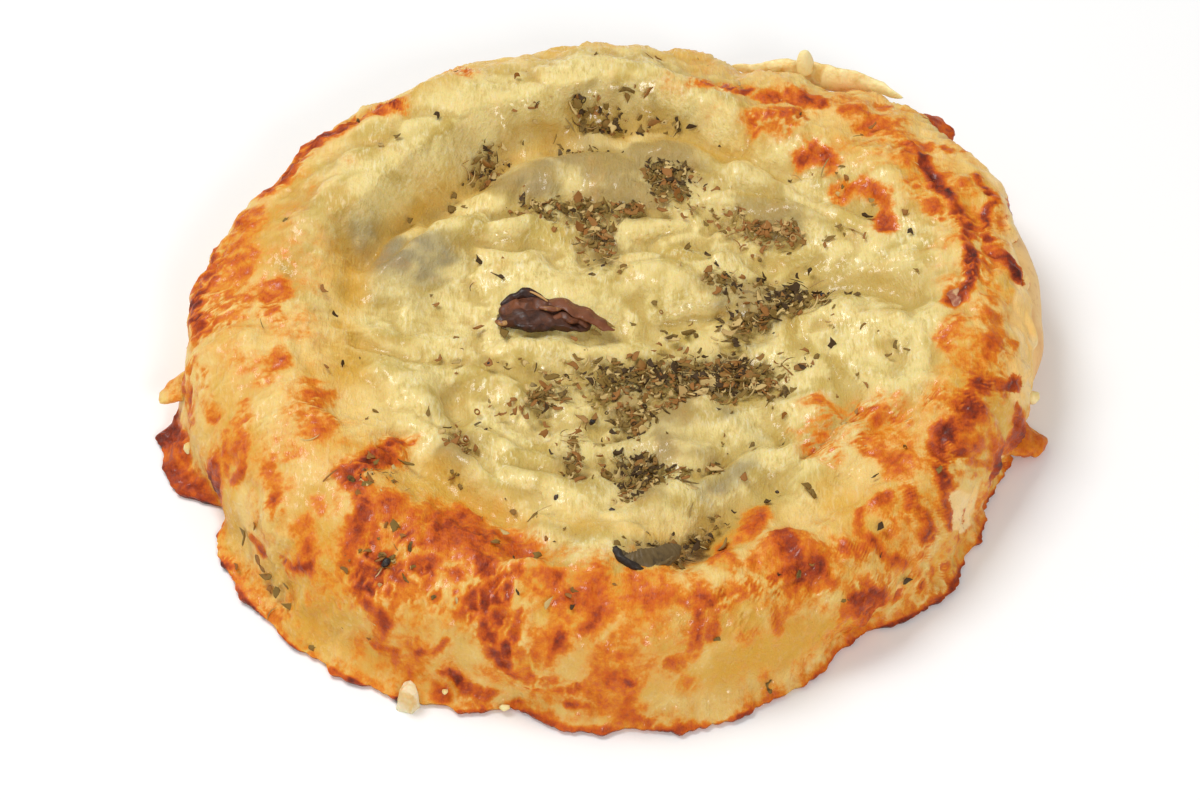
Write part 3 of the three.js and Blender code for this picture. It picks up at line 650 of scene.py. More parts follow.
def skirt_controls(side, top, skirt):
    """Control points from the shoulder down to the tray and out to the edge of the skirt."""
    return [
        (side + 0.4, SIDE_SHARES[0] * top), (side + 0.8, 0 * top + 3.2),
        (skirt - 1.8, 0 * top + SKIRT_THICKNESS + 0.5), (skirt, 0 * top + 0.5 * SKIRT_THICKNESS),
    ]


def dough_controls(s):
    top = s["top"] - CREST_CHEESE
    return upper_controls(s, s["floor"] - BASIN_CHEESE, top) + side_controls(s["bulge"], top)


def share_at_height(bearing, edge):
    """How far along the dough's profile its side comes down to a height, found on a table."""
    steps = np.linspace(0.5, 1, 81)
    table = np.arange(0, 361, TABLE_STEP)
    s = section_at(table)
    heights = np.stack([spline(dough_controls(s), 0 * table + step)[1] for step in steps])
    heights = np.minimum.accumulate(heights, axis=0)
    column = np.mod(bearing, 360) / TABLE_STEP
    low = column.astype(int)
    part = column - low
    found = 0
    for offset, weight in ((0, 1 - part), (1, part)):
        column_heights = heights[:, low + offset]
        above = np.clip(np.sum(column_heights >= edge, axis=0), 1, len(steps) - 1)
        upper = np.take_along_axis(column_heights, (above - 1)[None], 0)[0]
        lower = np.take_along_axis(column_heights, above[None], 0)[0]
        inner = np.clip((upper - edge) / np.maximum(upper - lower, 1e-6), 0, 1)
        found = found + weight * (steps[above - 1] + inner * (steps[1] - steps[0]))
    return found


def cheese_point(bearing, v, ragged=0.0):
    """Radius and height at v along the cheese's outer profile: over the dough to its rounded edge on
    the side, or, where it has run down, out to the edge of its skirt."""
    s = section_at(bearing, ragged)
    side = s["bulge"] + SIDE_CHEESE
    upper = upper_controls(s, s["floor"], s["top"])
    on_skirt = spline(upper + skirt_controls(side, s["top"], s["skirt"]), v)
    u = v * share_at_height(bearing.ravel(), s["edge"].ravel()).reshape(bearing.shape)
    cover = spline(upper + side_controls(side, s["top"]), u)
    under = spline(dough_controls(s), u)
    rounding = np.maximum((v - 1 + EDGE_SHARE) / EDGE_SHARE, 0)
    reach = 1 - np.sqrt(np.maximum(1 - rounding ** 2, 0))
    runs = 1 - smooth(s["edge"], 0, SKIRT_BLEND)
    radius = lerp(lerp(cover[0], under[0] - EDGE_DEPTH, reach), on_skirt[0], runs)
    height = lerp(lerp(cover[1], under[1], reach), on_skirt[1], runs)
    return radius, height


def placed(bearing, radius, height):
    angle = np.radians(bearing)
    return np.stack([radius * np.cos(angle), radius * np.sin(angle), height], -1)


# ---- Meshes ----

def disc_grid(steps):
    """A square grid bent so that its square rings become circles. Share of the way out, and bearing."""
    side = np.linspace(-1, 1, steps + 1)
    a, b = np.meshgrid(side, side, indexing="ij")
    share = np.maximum(abs(a), abs(b))
    wide = abs(a) >= abs(b)
    long_side = np.where(wide, a, b)
    ratio = np.where(wide, b, a) / np.where(long_side == 0, 1, long_side)
    turn = np.where(wide, 45 * ratio, 90 - 45 * ratio) + np.where(long_side < 0, 180, 0)
    return share, np.mod(turn, 360)


def blurred(values, cells):
    """Mean over a square of cells each way round every grid point, twice over, by running sums."""
    for axis in (0, 1, 0, 1):
        wide = np.moveaxis(np.pad(values, cells, mode="edge"), axis, 0)
        sums = np.cumsum(np.concatenate([0 * wide[:1], wide]), axis=0)
        means = (sums[2 * cells + 1:] - sums[:-2 * cells - 1]) / (2 * cells + 1)
        means = np.moveaxis(means, 0, axis)
        values = means[:, cells:-cells] if axis == 0 else means[cells:-cells]
    return values


def outward_normals(grid):
    """Unit normals of a grid of points: the cross product of its two directions, up in the middle."""
    normal = np.cross(np.gradient(grid, axis=0), np.gradient(grid, axis=1))
    normal /= np.maximum(np.linalg.norm(normal, axis=-1, keepdims=True), 1e-9)
    middle = normal[len(grid) // 2, len(grid) // 2, 2]
    return normal * np.sign(middle)


def facing_out(points, faces):
    """The same faces, all turned round if the volume that they enclose comes out negative."""
    volume = 0
    for group in faces:
        for i in range(1, group.shape[1] - 1):
            a, b, c = points[group[:, 0]], points[group[:, i]], points[group[:, i + 1]]
            volume += np.sum(a * np.cross(b, c))
    return faces if volume > 0 else [group[:, ::-1] for group in faces]


def closed_surface(grid):
    """Points and outward faces of a closed surface made of rings. The first and last ring shrink to a
    point."""
    rows, columns = grid.shape[:2]
    points = np.concatenate([grid[:1, 0], grid[1:-1].reshape(-1, 3), grid[-1:, 0]])
    ring = 1 + np.arange((rows - 2) * columns).reshape(rows - 2, columns)
    after = np.roll(ring, -1, axis=1)
    quads = np.stack([ring[:-1], ring[1:], after[1:], after[:-1]], -1).reshape(-1, 4)
    first, last = 0 * ring[0], 0 * ring[0] + len(points) - 1
    caps = [np.stack([first, ring[0], after[0]], -1), np.stack([ring[-1], last, after[-1]], -1)]
    return points, facing_out(points, [quads, np.concatenate(caps)])


def solid_rows(rows, columns):
    """Row share from 0 to 1 and angle round, for a closed surface of rings."""
    return np.meshgrid(np.linspace(0, 1, rows), np.arange(columns) * 2 * np.pi / columns, indexing="ij")


def ball_angles(rows, columns):
    """Angle down from the pole and angle round, for a ball of rings."""
    down, around = solid_rows(rows, columns)
    return down * np.pi, around


def ball(down, around):
    """Points of a ball of radius 1."""
    return np.stack([np.sin(down) * np.cos(around), np.sin(down) * np.sin(around), np.cos(down)], -1)


def lumpy_ball(mesh_size, unevenness, size, seed):
    """Points and faces of a ball of radius 1, pushed in and out by noise."""
    grid = ball(*ball_angles(*mesh_size))
    return closed_surface(grid * (1 + unevenness * noise(grid * 2, size, seed))[..., None])


def swept(path, half_width, half_thickness, roll, mesh_size=TONGUE_MESH, fullness=0.6):
    """A tongue: an ellipse carried along a cubic B-spline, its two half sizes drawn through the values
    given and brought to a point at both ends by a power of a sine. Roll tips it about its length."""
    along, around = solid_rows(*mesh_size)
    controls = np.array([path[0]] * 2 + list(path) + [path[-1]] * 2, float)
    place = along[:, 0] * (len(controls) - 3.0001)
    first = place.astype(int)
    t = (place - first)[:, None]
    weights = ((1 - t) ** 3, 3 * t ** 3 - 6 * t ** 2 + 4, -3 * t ** 3 + 3 * t ** 2 + 3 * t + 1, t ** 3)
    centre = sum(w * controls[first + k] for k, w in enumerate(weights)) / 6
    tangent = np.gradient(centre, axis=0) + 1e-9
    tangent /= np.linalg.norm(tangent, axis=1, keepdims=True)
    side = np.cross([0, 0, 1.0], tangent)
    side /= np.maximum(np.linalg.norm(side, axis=1, keepdims=True), 1e-6)
    up = np.cross(tangent, side)
    c, s = math.cos(math.radians(roll)), math.sin(math.radians(roll))
    side, up = side * c + up * s, up * c - side * s
    share = along[:, 0]
    full = np.sin(np.pi * share) ** fullness
    width = full * np.interp(share, np.linspace(0, 1, len(half_width)), half_width)
    thick = full * np.interp(share, np.linspace(0, 1, len(half_thickness)), half_thickness)
    across = (width[:, None] * np.sin(around))[..., None] * side[:, None]
    return centre[:, None] + across + (thick[:, None] * np.cos(around))[..., None] * up[:, None]


def joined_tongues(parts, size, seeds):
    """Points, faces and tone of several tongues. Each part: path, half widths, half thicknesses, roll,
    tone, roughness of form in mm, and height of the ribs across it in mm."""
    all_points, all_faces, tones, start = [], [], [], 0
    for path, half_width, half_thickness, roll, tone, rough, ribs in parts:
        grid = swept(path, half_width, half_thickness, roll)
        grid += rough * pushes(grid, size, seeds, 2)
        grid[..., 2] += ribs * np.cos(np.arange(len(grid)) * 2.1)[:, None]
        points, faces = closed_surface(grid)
        all_points.append(points)
        all_faces += [group + start for group in faces]
        start += len(points)
        tones.append(tone + 0.2 * noise(points, 0.7 * size, seeds[0] + 6))
    return np.concatenate(all_points), all_faces, np.concatenate(tones)


def repeated(points, faces, spins, sizes, places):
    """Copies of one small shape: points times size, turned by each 3 x 3 spin and moved to each place."""
    moved = np.einsum("kij,kvj->kvi", spins, points[None] * sizes[:, None]) + places[:, None]
    starts = (np.arange(len(places)) * len(points))[:, None, None]
    return moved.reshape(-1, 3), [(group[None] + starts).reshape(-1, group.shape[1]) for group in faces]


def add_piece(name, points, faces, material, slot=None, node=None, values=None):
    """Mesh object from points in mm and arrays of face corners, with values at its points for its
    material."""
    mesh = bpy.data.meshes.new(name)
    corners = np.concatenate([group.ravel() for group in faces])
    sizes = np.concatenate([np.full(len(group), group.shape[1]) for group in faces])
    mesh.vertices.add(len(points))
    mesh.vertices.foreach_set("co", (points * MM).astype(np.float32).ravel())
    mesh.loops.add(len(corners))
    mesh.loops.foreach_set("vertex_index", corners.astype(np.int32))
    mesh.polygons.add(len(sizes))
    mesh.polygons.foreach_set("loop_start", (np.cumsum(sizes) - sizes).astype(np.int32))
    mesh.update(calc_edges=True)
    mesh.shade_smooth()
    for key, value in (values or {}).items():
        attribute = mesh.attributes.new(key, "FLOAT", "POINT")
        attribute.data.foreach_set("value", np.asarray(value, np.float32).ravel())
    mesh.materials.append(material)
    piece = bpy.data.objects.new(name, mesh)
    bpy.context.scene.collection.objects.link(piece)
    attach(piece, "root")
    if node:
        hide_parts(node)
    return piece


# ---- Shader nodes ----

def linear(colour):
    """Screen colour as the linear light that a shader works in."""
    return [*[c / 12.92 if c <= 0.04045 else ((c + 0.055) / 1.055) ** 2.4 for c in colour[:3]], 1.0]


def node(tree, kind, inputs=None, **settings):
    """Adds a node with these settings. Inputs maps a socket's name or number to a value or a socket."""
    made = tree.nodes.new(kind)
    for key, value in settings.items():
        setattr(made, key, value)
    for key, value in (inputs or {}).items():
        if isinstance(value, bpy.types.NodeSocket):
            tree.links.new(value, made.inputs[key])
        else:
            made.inputs[key].default_value = value
    return made


def maths(tree, operation, first, second=0.0):
    return node(tree, "ShaderNodeMath", {0: first, 1: second}, operation=operation).outputs[0]


def times(tree, first, second):
    return maths(tree, "MULTIPLY", first, second)


def plus(tree, first, second):
    return maths(tree, "ADD", first, second)


def larger(tree, first, second):
    return maths(tree, "MAXIMUM", first, second)


def off_middle(tree, value, factor):
    """How far a value of 0..1 lies from one half, times a factor."""
    return times(tree, maths(tree, "SUBTRACT", value, 0.5), factor)


def blended(tree, share, first, second):
    """Colour that goes from first to second as share goes from 0 to 1. Each is a socket or a screen
    colour."""
    first, second = [c if isinstance(c, bpy.types.NodeSocket) else linear(c) for c in (first, second)]
    made = node(tree, "ShaderNodeMix", {0: share, 6: first, 7: second}, data_type="RGBA")
    return made.outputs[2]


def laid_over(tree, colour, *layers):
    """Colours laid over a first one. Each layer: value, ends of its ramp, most that it covers, colour."""
    for value, low, high, most, over in layers:
        colour = blended(tree, ramped(tree, value, low, high, 0.0, most), colour, over)
    return colour


def ramped(tree, value, low, high, start=0.0, end=1.0):
    """Start below low, end above high, and smooth between."""
    made = node(
        tree, "ShaderNodeMapRange",
        {"Value": value, "From Min": low, "From Max": high, "To Min": start, "To Max": end},
        interpolation_type="SMOOTHSTEP",
    )
    return made.outputs[0]


def attribute(tree, name):
    return node(tree, "ShaderNodeAttribute", attribute_name=name).outputs["Fac"]


def grain(tree, size, detail=2.0, roughness=0.5, warp=0.0, vector=None):
    """Noise on Object coordinates, with features of a size in mm."""
    if vector is None:
        vector = node(tree, "ShaderNodeTexCoord").outputs["Object"]
    values = {"Scale": 1 / (size * MM), "Detail": detail, "Roughness": roughness, "Distortion": warp}
    return node(tree, "ShaderNodeTexNoise", {"Vector": vector, **values}).outputs["Fac"]


def new_group(name, inputs, outputs):
    """Node group with named inputs and outputs. Colours are given by a default of four numbers."""
    tree = bpy.data.node_groups.new(name, "ShaderNodeTree")
    for direction, sockets in (("INPUT", inputs), ("OUTPUT", outputs)):
        for socket_name, default in sockets.items():
            kind = "NodeSocketFloat" if isinstance(default, float) else "NodeSocketColor"
            socket = tree.interface.new_socket(socket_name, in_out=direction, socket_type=kind)
            if direction == "INPUT":
                socket.default_value = default
    entry, exit_node = tree.nodes.new("NodeGroupInput"), tree.nodes.new("NodeGroupOutput")
    return tree, entry.outputs, exit_node.inputs


def use_group(tree, group, inputs):
    return node(tree, "ShaderNodeGroup", inputs, node_tree=group).outputs


def new_material(name, **constants):
    """Material with a Principled shader whose constant values are set on its own sockets."""
    material = bpy.data.materials.new(name)
    material.use_nodes = True
    tree = material.node_tree
    shader = tree.nodes["Principled BSDF"]
    for key, value in constants.items():
        shader.inputs[key.replace("_", " ")].default_value = value
    return material, tree, shader


def feed(tree, shader, **values):
    """Links values that change over the surface to the shader's sockets."""
    for key, value in values.items():
        tree.links.new(value, shader.inputs[key.replace("_", " ")])


def connect_bump(tree, shader, height, strength):
    """Height in mm drives a bump on the shader's normal."""
    bump = node(tree, "ShaderNodeBump", {"Height": height, "Distance": MM, "Strength": strength})
    feed(tree, shader, Normal=bump.outputs[0])


def painted(tree, shader, colour, size, pores, strength):
    """Colours the shader and gives it food grain: pores of a size in mm, their depth, and the bump's
    strength."""
    feed(tree, shader, Base_Color=colour)
    relief = use_group(tree, grain_group(), {"Size": size, "Pores": pores})
    connect_bump(tree, shader, relief["Height"], strength)


# Levels between which each browning colour comes in.
BROWNING_BANDS = ((-0.05, 0.42), (0.2, 0.74), (0.64, 1.04), (0.98, 1.34), (1.3, 1.6))


def browning_group(colours):
    """Turns a plain colour and a browning level into a baked colour. Fine noise breaks up the level, and
    the colour steps through amber, orange, rust and maroon to char as the level rises."""
    tree, given, out = new_group(
        "Browning",
        {"Colour": (0.8, 0.6, 0.3, 1.0), "Level": 0.0, "Breakup": 1.0},
        {"Colour": (0.8, 0.6, 0.3, 1.0), "Level": 0.0},
    )
    rough = off_middle(tree, grain(tree, 0.8, 2, 0.65), 0.85)
    acting = times(tree, ramped(tree, given["Level"], 0.0, 0.3, 0.1, 1.0), given["Breakup"])
    level = plus(tree, given["Level"], times(tree, rough, acting))
    bands = [(level, low, high, 1.0, tone) for (low, high), tone in zip(BROWNING_BANDS, colours)]
    tree.links.new(laid_over(tree, given["Colour"], *bands), out["Colour"])
    tree.links.new(level, out["Level"])
    return tree


def grain_group():
    """Fine relief of cooked food, in mm: soft pores of the size given."""
    existing = bpy.data.node_groups.get("Food Grain")
    if existing:
        return existing
    tree, given, out = new_group("Food Grain", {"Size": 1.0, "Pores": 1.0}, {"Height": 0.0})
    coordinates = node(tree, "ShaderNodeTexCoord").outputs["Object"]
    scale = maths(tree, "DIVIDE", 1 / MM, given["Size"])
    values = {"Vector": coordinates, "Scale": scale, "Detail": 2.0, "Roughness": 0.68}
    soft = node(tree, "ShaderNodeTexNoise", values).outputs["Fac"]
    tree.links.new(times(tree, times(tree, soft, 0.25), given["Pores"]), out["Height"])
    return tree


# ---- Settings ----

def number_setting(name, description, default, low=0.0, high=100.0, subtype="NONE"):
    return bpy.props.FloatProperty(
        name=name, description=description, default=default, min=low, max=high, subtype=subtype)


def length_setting(name, description, default, high=0.01):
    """A length in metres, shown in the scene's unit."""
    return bpy.props.FloatProperty(
        name=name, description=description, default=default, min=0, max=high, subtype="DISTANCE",
        precision=5)


def colour_setting(name, description, red, green, blue):
    return bpy.props.FloatVectorProperty(
        name=name, description=description, subtype="COLOR_GAMMA", size=3, min=0, max=1,
        default=(red / 255, green / 255, blue / 255),
    )


class PizzaCheeseSettings(bpy.types.PropertyGroup):
    pillow_height: length_setting("Pillow height", "Height of the soft pillows in the basin", 0.0033)
    lump_height: length_setting("Lump height", "Height of the slow lumps on the rim", 0.0011)
    blister_height: length_setting("Blister height", "Height of the wrinkles in browned cheese", 0.00042)
    raggedness: number_setting(
        "Raggedness", "Unevenness of the skirt's and the cheese's edge", 1.0, 0, 2, "FACTOR")
    cream: colour_setting("Cream", "Pale cheese on the rim", 236, 202, 122)
    straw: colour_setting("Straw", "Deeper yellow cheese on the rim", 224, 178, 80)
    curd: colour_setting("Curd", "Fresh cheese in the basin", 234, 214, 142)
    sage: colour_setting("Sage", "Fresh cheese stained by herbs and filling", 164, 140, 84)
    # Slate is also painted shade in valleys and creases of the basin and beside the mushroom.
    slate: colour_setting("Slate", "Cheese with dark filling just under it", 138, 128, 100)
    # Gold is also painted shade in creases outside the basin.
    gold: colour_setting("Gold", "Clear oily cheese in pools and creases", 210, 158, 44)
    amber: colour_setting("Amber", "First browning", 228, 142, 26)
    orange: colour_setting("Orange", "Second browning", 206, 94, 12)
    rust: colour_setting("Rust", "Deep browning", 160, 58, 12)
    maroon: colour_setting("Maroon", "Cores of the browned patches", 110, 36, 14)
    char: colour_setting("Char", "Burnt cheese", 58, 22, 14)


class PizzaBaseSettings(bpy.types.PropertyGroup):
    dough: colour_setting("Dough", "Baked dough", 247, 201, 122)
    crust: colour_setting("Crust", "Browner dough near the foot", 226, 160, 82)


class PizzaToppingSettings(bpy.types.PropertyGroup):
    olive: colour_setting("Olive", "Skin of the dark olive", 82, 47, 30)
    olive_flesh: colour_setting("Olive flesh", "Redder thin parts of the olive", 124, 72, 44)
    mushroom: colour_setting("Mushroom", "Cooked mushroom", 104, 84, 50)
    ham: colour_setting("Ham", "Baked ham", 190, 130, 92)
    crumb: colour_setting("Crumb", "White crumb", 240, 226, 188)
    shred: colour_setting("Shred", "Unbrowned shred of cheese", 248, 230, 168)


class PizzaHerbSettings(bpy.types.PropertyGroup):
    flake_length: length_setting("Flake length", "Usual length of a herb flake", 0.001)
    amount: number_setting("Amount", "Multiplies the number of herb bits", 3.9, 0.1, 6)
    seed: bpy.props.IntProperty(name="Seed", description="Seed of the herbs' scatter", default=7)
    leaf: colour_setting("Leaf", "Green-brown leaf", 132, 104, 48)
    dark_leaf: colour_setting("Dark leaf", "Dark leaf", 72, 52, 28)
    brown_leaf: colour_setting("Brown leaf", "Brown leaf", 156, 104, 50)
    straw: colour_setting("Straw", "Stems and husks", 216, 186, 122)


class PizzaStageSettings(bpy.types.PropertyGroup):
    floor: colour_setting("Floor", "Plain pale floor", 253, 253, 253)
    key_power: number_setting(
        "Key light", "Power of the large light at the back left", 3.5, subtype="POWER")
    fill_power: number_setting("Fill light", "Power of the light from the front", 2.1, subtype="POWER")
    room: number_setting("Room light", "Strength of the even light from all round", 0.42)


SETTINGS = {
    "pizza_cheese": PizzaCheeseSettings,
    "pizza_base": PizzaBaseSettings,
    "pizza_toppings": PizzaToppingSettings,
    "pizza_herbs": PizzaHerbSettings,
    "pizza_stage": PizzaStageSettings,
}


# ---- Base ----

class PIZZA_OT_base(bpy.types.Operator):
    """Make the dough: the profile from the middle over the rim to the flat foot, carried round"""

    bl_idname = "pizza.base"
    bl_label = "Dough"

    def execute(self, context):
        rows, columns = DOUGH_MESH
        turns = np.arange(columns) * 360 / columns
        u, bearing = np.meshgrid(np.linspace(0, 1, rows), turns, indexing="ij")
        radius, height = spline(dough_controls(section_at(bearing)), u)
        grid = placed(bearing, radius, height)
        folds = fold_height(grid[..., 0], grid[..., 1], BROAD_FOLDS)
        grid[..., 2] += DOUGH_FOLD_SHARE * smooth(grid[..., 2], 6, 9) * folds
        on_side = smooth(u, 0.6, 0.7) * (1 - smooth(u, 0.93, 1))
        lumps = 0.22 * layered(grid, 9, 61) + 0.05 * noise(grid, 1.6, 62)
        grid += ring_points(bearing, 1.0) * (on_side * lumps)[..., None]
        grid = np.concatenate([grid, np.zeros((1, columns, 3))])
        material = self.material(context.scene.pizza_base)
        add_piece("dough", *closed_surface(grid), material, "dough", "dough")
        return {"FINISHED"}

    def material(self, settings):
        material, tree, shader = new_material(
            "baked dough", Roughness=0.52, Subsurface_Weight=0.1, Subsurface_Scale=0.002)
        coordinates = node(tree, "ShaderNodeTexCoord").outputs["Object"]
        height = node(tree, "ShaderNodeSeparateXYZ", {0: coordinates}).outputs["Z"]
        low = times(tree, ramped(tree, height, 0.0, 6 * MM, 1.0, 0.0), 0.7)
        share = plus(tree, low, ramped(tree, grain(tree, 7, 3, 0.6, 0.4), 0.4, 0.7, 0.0, 0.7))
        colour = blended(tree, share, settings.dough, settings.crust)
        speckle = grain(tree, 1.1, 2, 0.6)
        colour = laid_over(tree, colour, (speckle, 0.54, 0.72, 0.4, DOUGH_SPECKLE))
        painted(tree, shader, colour, 1.2, 0.5, 0.7)
        return material


# ---- Cheese ----

def herb_density(x, y):
    """How densely the herbs lie at each point: the sum of a bell for each clump, a little wider than the
    clump and weighted by its count over its area."""
    total = 0
    for cx, cy, half_length, half_width, turn, count, _ in HERB_CLUMPS:
        if half_length > LOOSE_LENGTH:
            continue
        c, s = math.cos(math.radians(turn)), math.sin(math.radians(turn))
        along = ((x - cx) * c + (y - cy) * s) / (1.2 * half_length + 1.2)
        across = ((y - cy) * c - (x - cx) * s) / (1.2 * half_width + 1.2)
        weight = count / (half_length * half_width * 6)
        total = total + weight * np.exp(-(along ** 2 + across ** 2))
    return np.minimum(total, 1.2)


def cheese_values(grid, bearing, height):
    """Masks for the cheese's colours at each point, all from the strongest of their marks, with the
    places bent by noise so that the outlines wander."""
    bend = pushes(grid, 6, (71, 73, 75), 2)
    x, y = grid[..., 0] + 1.5 * bend[..., 0], grid[..., 1] + 1.5 * bend[..., 1]
    radius = np.hypot(grid[..., 0], grid[..., 1])
    section = section_at(bearing)
    rim = smooth(radius, section["basin"] + 1, section["crest"])
    on_top = smooth(height, 8, 13)
    on_side = smooth(radius, section["bulge"] - 6.5, section["bulge"] - 3.5)
    turned = np.where(bearing < 60, bearing + 360, bearing)
    around, up = turned + 1.2 * bend[..., 0], height + 0.9 * bend[..., 2]
    general = value_at(RIM_BROWNING, bearing)
    patchy = 0.5 + 0.5 * np.clip(1.4 * noise(grid, 7, 81) + 0.5 * noise(grid, 3, 82), -1, 1)
    brown = rim * general * patchy * 1.2
    brown = np.maximum(brown, on_top * strongest(x, y, TOP_BROWNING))
    brown = np.maximum(brown, on_side * strongest(around, up, SIDE_BROWNING))
    # The skirt's edge is burnt to a thin dark line with a soft halo inside it.
    runs, inside = 1 - smooth(section["edge"], 0, 2), section["skirt"] - radius
    wide = value_at(BURNT_LINE, bearing)
    line = 1 - smooth(inside, 0.1 * wide, wide * (1.1 + 0.8 * noise(grid, 3.4, 83)))
    brown = np.maximum(brown, runs * line * (1.02 + 0.4 * noise(grid, 5, 84)))
    halo = 1 - smooth(inside, 0.3, 1.6 + wide)
    brown = np.maximum(brown, runs * halo * (0.42 + 0.4 * noise(grid, 7, 96)))
    near_edge = 1 - smooth(height, section["edge"] + 0.5, section["edge"] + 2.5)
    ledge = smooth(section["edge"], 3, 6) * near_edge * on_side * (0.45 + 0.4 * noise(grid, 4, 84))
    brown = np.maximum(brown, ledge * value_at(LEDGE_BROWNING, bearing))
    side_oil = on_side * strongest(around, up, SIDE_OIL, 2.0)
    # Clear oily pools and glaze outside the crest, and painted shade along creases from the marks in
    # plan.
    oil_and_shade = np.maximum(on_top * strongest(x, y, TOP_OIL_AND_SHADE, 2.0), side_oil)
    glaze = smooth(radius, section["crest"], section["bulge"] - 3) * value_at(GLAZE, bearing)
    oil_and_shade = np.maximum(oil_and_shade, glaze * (0.75 + 0.6 * noise(grid, 8, 86)))
    pool = on_side * strongest(around, up, SIDE_OIL[:1], 2.0)
    brown = brown * (1 - 0.8 * pool)
    # Noise breaks the browning into patches and threads, in full only where there is some.
    acting = lerp(0.15, 1, smooth(brown, 0.02, 0.3))
    arc = radius - height
    brown = brown + acting * (0.3 * noise(grid, 4.2, 85) + 0.3 * noise(grid + 1.5 * bend, 1.5, 87))
    brown = brown + acting * 0.3 * streaks(bearing, arc + 3 * bend[..., 0], 2.0, 7, 89)
    # Thin pale strands run down through the browning and net it: raised strands whose pale colour is
    # partly a painted highlight along folds.
    strands = streaks(bearing + 1.6 * bend[..., 1], arc + 3 * bend[..., 0], 1.9, 6, 131)
    runs_down = 1 - np.abs(strands) / 0.16
    netted = 1 - np.abs(noise(grid + 1.3 * bend, 3.0, 133)) / 0.13
    strands_and_highlights = np.clip(np.maximum(runs_down, netted), 0, 1) * smooth(noise(grid, 9, 134), -0.35, 0.3)
    brown = brown - 0.62 * strands_and_highlights * smooth(brown, 0.2, 0.5) * (1 - runs * line)
    # Small round browned blisters, strewn over the rim where it is browned at all.
    dots = 1 - smooth(spots(grid + 1.5 * bend, 6, 107), 0.1, 0.34)
    chance = smooth(noise(grid, 12, 108), -0.35, 0.15)
    brown = np.maximum(brown, 0.8 * rim * (1 - pool) * chance * dots * smooth(general, 0.1, 0.3))
    in_basin = 1 - smooth(np.hypot(x - BASIN_CENTRE[0], y - BASIN_CENTRE[1] - 1), 31, 41)
    return {
        "brown": brown,
        "fresh": np.clip(np.maximum(in_basin, on_top * strongest(x, y, FRESH_TONGUES)), 0, 1),
        "oil_and_shade": oil_and_shade,
        # Slate where dark filling shows through, and painted shade in valleys, creases and beside the
        # mushroom.
        "under": on_top * strongest(x, y, FILLING_AND_SHADE_MARKS, 2.0),
        "stain": on_top * herb_density(x, y),
        "bare": on_side * strongest(around, up, BARE_PATCHES, 3.0),
        "mottle": 0.5 + 0.8 * layered(grid, 13, 88, 2) - 0.25 * strands_and_highlights,
        "strand_and_highlight": strands_and_highlights,
        "patch": 0.5 + 0.6 * layered(grid + 2 * bend, 5, 90, 3),
    }


def streaks(bearing, arc, width, length, seed):
    """Noise drawn out along the cross-section: width mm round the pizza and length mm outward."""
    angle = np.radians(bearing)
    around = MEAN_RADIUS / width
    return noise(np.stack([around * np.cos(angle), around * np.sin(angle), arc / length], -1), 1.0, seed)


def cheese_relief(grid, values, strands_and_highlights, settings):
    """Height in mm above the plain fold surface: the sum of pillows in the basin, slow lumps on the rim,
    runs down the outside, wrinkles and blisters where it is browned, fine noise and raised strands."""
    bend = pushes(grid, 9, (91, 93, 95), 2)
    warped = grid + 3.0 * bend
    x, y = warped[..., 0] - BASIN_CENTRE[0], warped[..., 1] - BASIN_CENTRE[1]
    radius = np.hypot(x, y)
    # Folds that run round the basin: long in the direction round it, short outward.
    turn = np.arctan2(y, x)
    ringed = np.stack([15 * np.cos(turn), 15 * np.sin(turn), 1.15 * radius], -1)
    ring_share = smooth(radius, 8, 18)
    broad = lerp(pillows(warped, 11, 94), pillows(ringed, 9, 97), ring_share)
    inside = values["fresh"]
    calm = 1 - 0.75 * np.clip(values["oil_and_shade"], 0, 1)
    for bed, width in ((OLIVE_BED, 4.5), (MUSHROOM_BED, 3.0)):
        reach = path_distance(grid[..., 0], grid[..., 1], bed) / width
        calm = calm * (1 - 0.85 * np.exp(-reach ** 2))
    kinds = ((4.6, 98), (2.2, 99), (3.4, 101))
    medium, small, skin = [pillows(warped, size, seed) - 0.4 for size, seed in kinds]
    pillow = broad - 0.4 + lerp(0.24, 0.13, inside) * medium + 0.03 * small
    bearing = np.degrees(np.arctan2(grid[..., 1], grid[..., 0]))
    outside = value_at(RIM_PILLOWS, bearing)
    relief = lerp(outside, 1.0, inside) * calm * (settings.pillow_height / MM) * pillow
    relief += settings.lump_height / MM * calm * lerp(1, 0.25, inside) * layered(warped, 11, 100, 2)
    relief += lerp(0.5, 0.0, inside) * calm * skin
    # Runs of cheese down the outside.
    distance = np.hypot(grid[..., 0], grid[..., 1])
    runs = streaks(bearing + 2 * bend[..., 0], distance - grid[..., 2] + 2 * bend[..., 1], 4.5, 14, 141)
    relief += 0.6 * smooth(distance, 43, 50) * calm * runs
    browned = np.clip(values["brown"], 0, 1)
    wrinkle = 0.8 - 2 * pillows(warped, 2.2, 103)
    blister = np.clip(1 - spots(warped, 2.0, 104) / 0.5, 0, 1) ** 0.7
    crisp = 1.1 * wrinkle + 0.9 * blister + 0.7 * noise(grid, 1.0, 105)
    relief += browned * (settings.blister_height / MM) * crisp
    relief += calm * (lerp(0.1, 0.07, inside) * noise(grid, 1.3, 106) + 0.13 * noise(warped, 2.6, 107))
    relief += lerp(0.26, 0.12, inside) * strands_and_highlights
    return relief - 0.7 * np.clip(values["bare"], 0, 1)


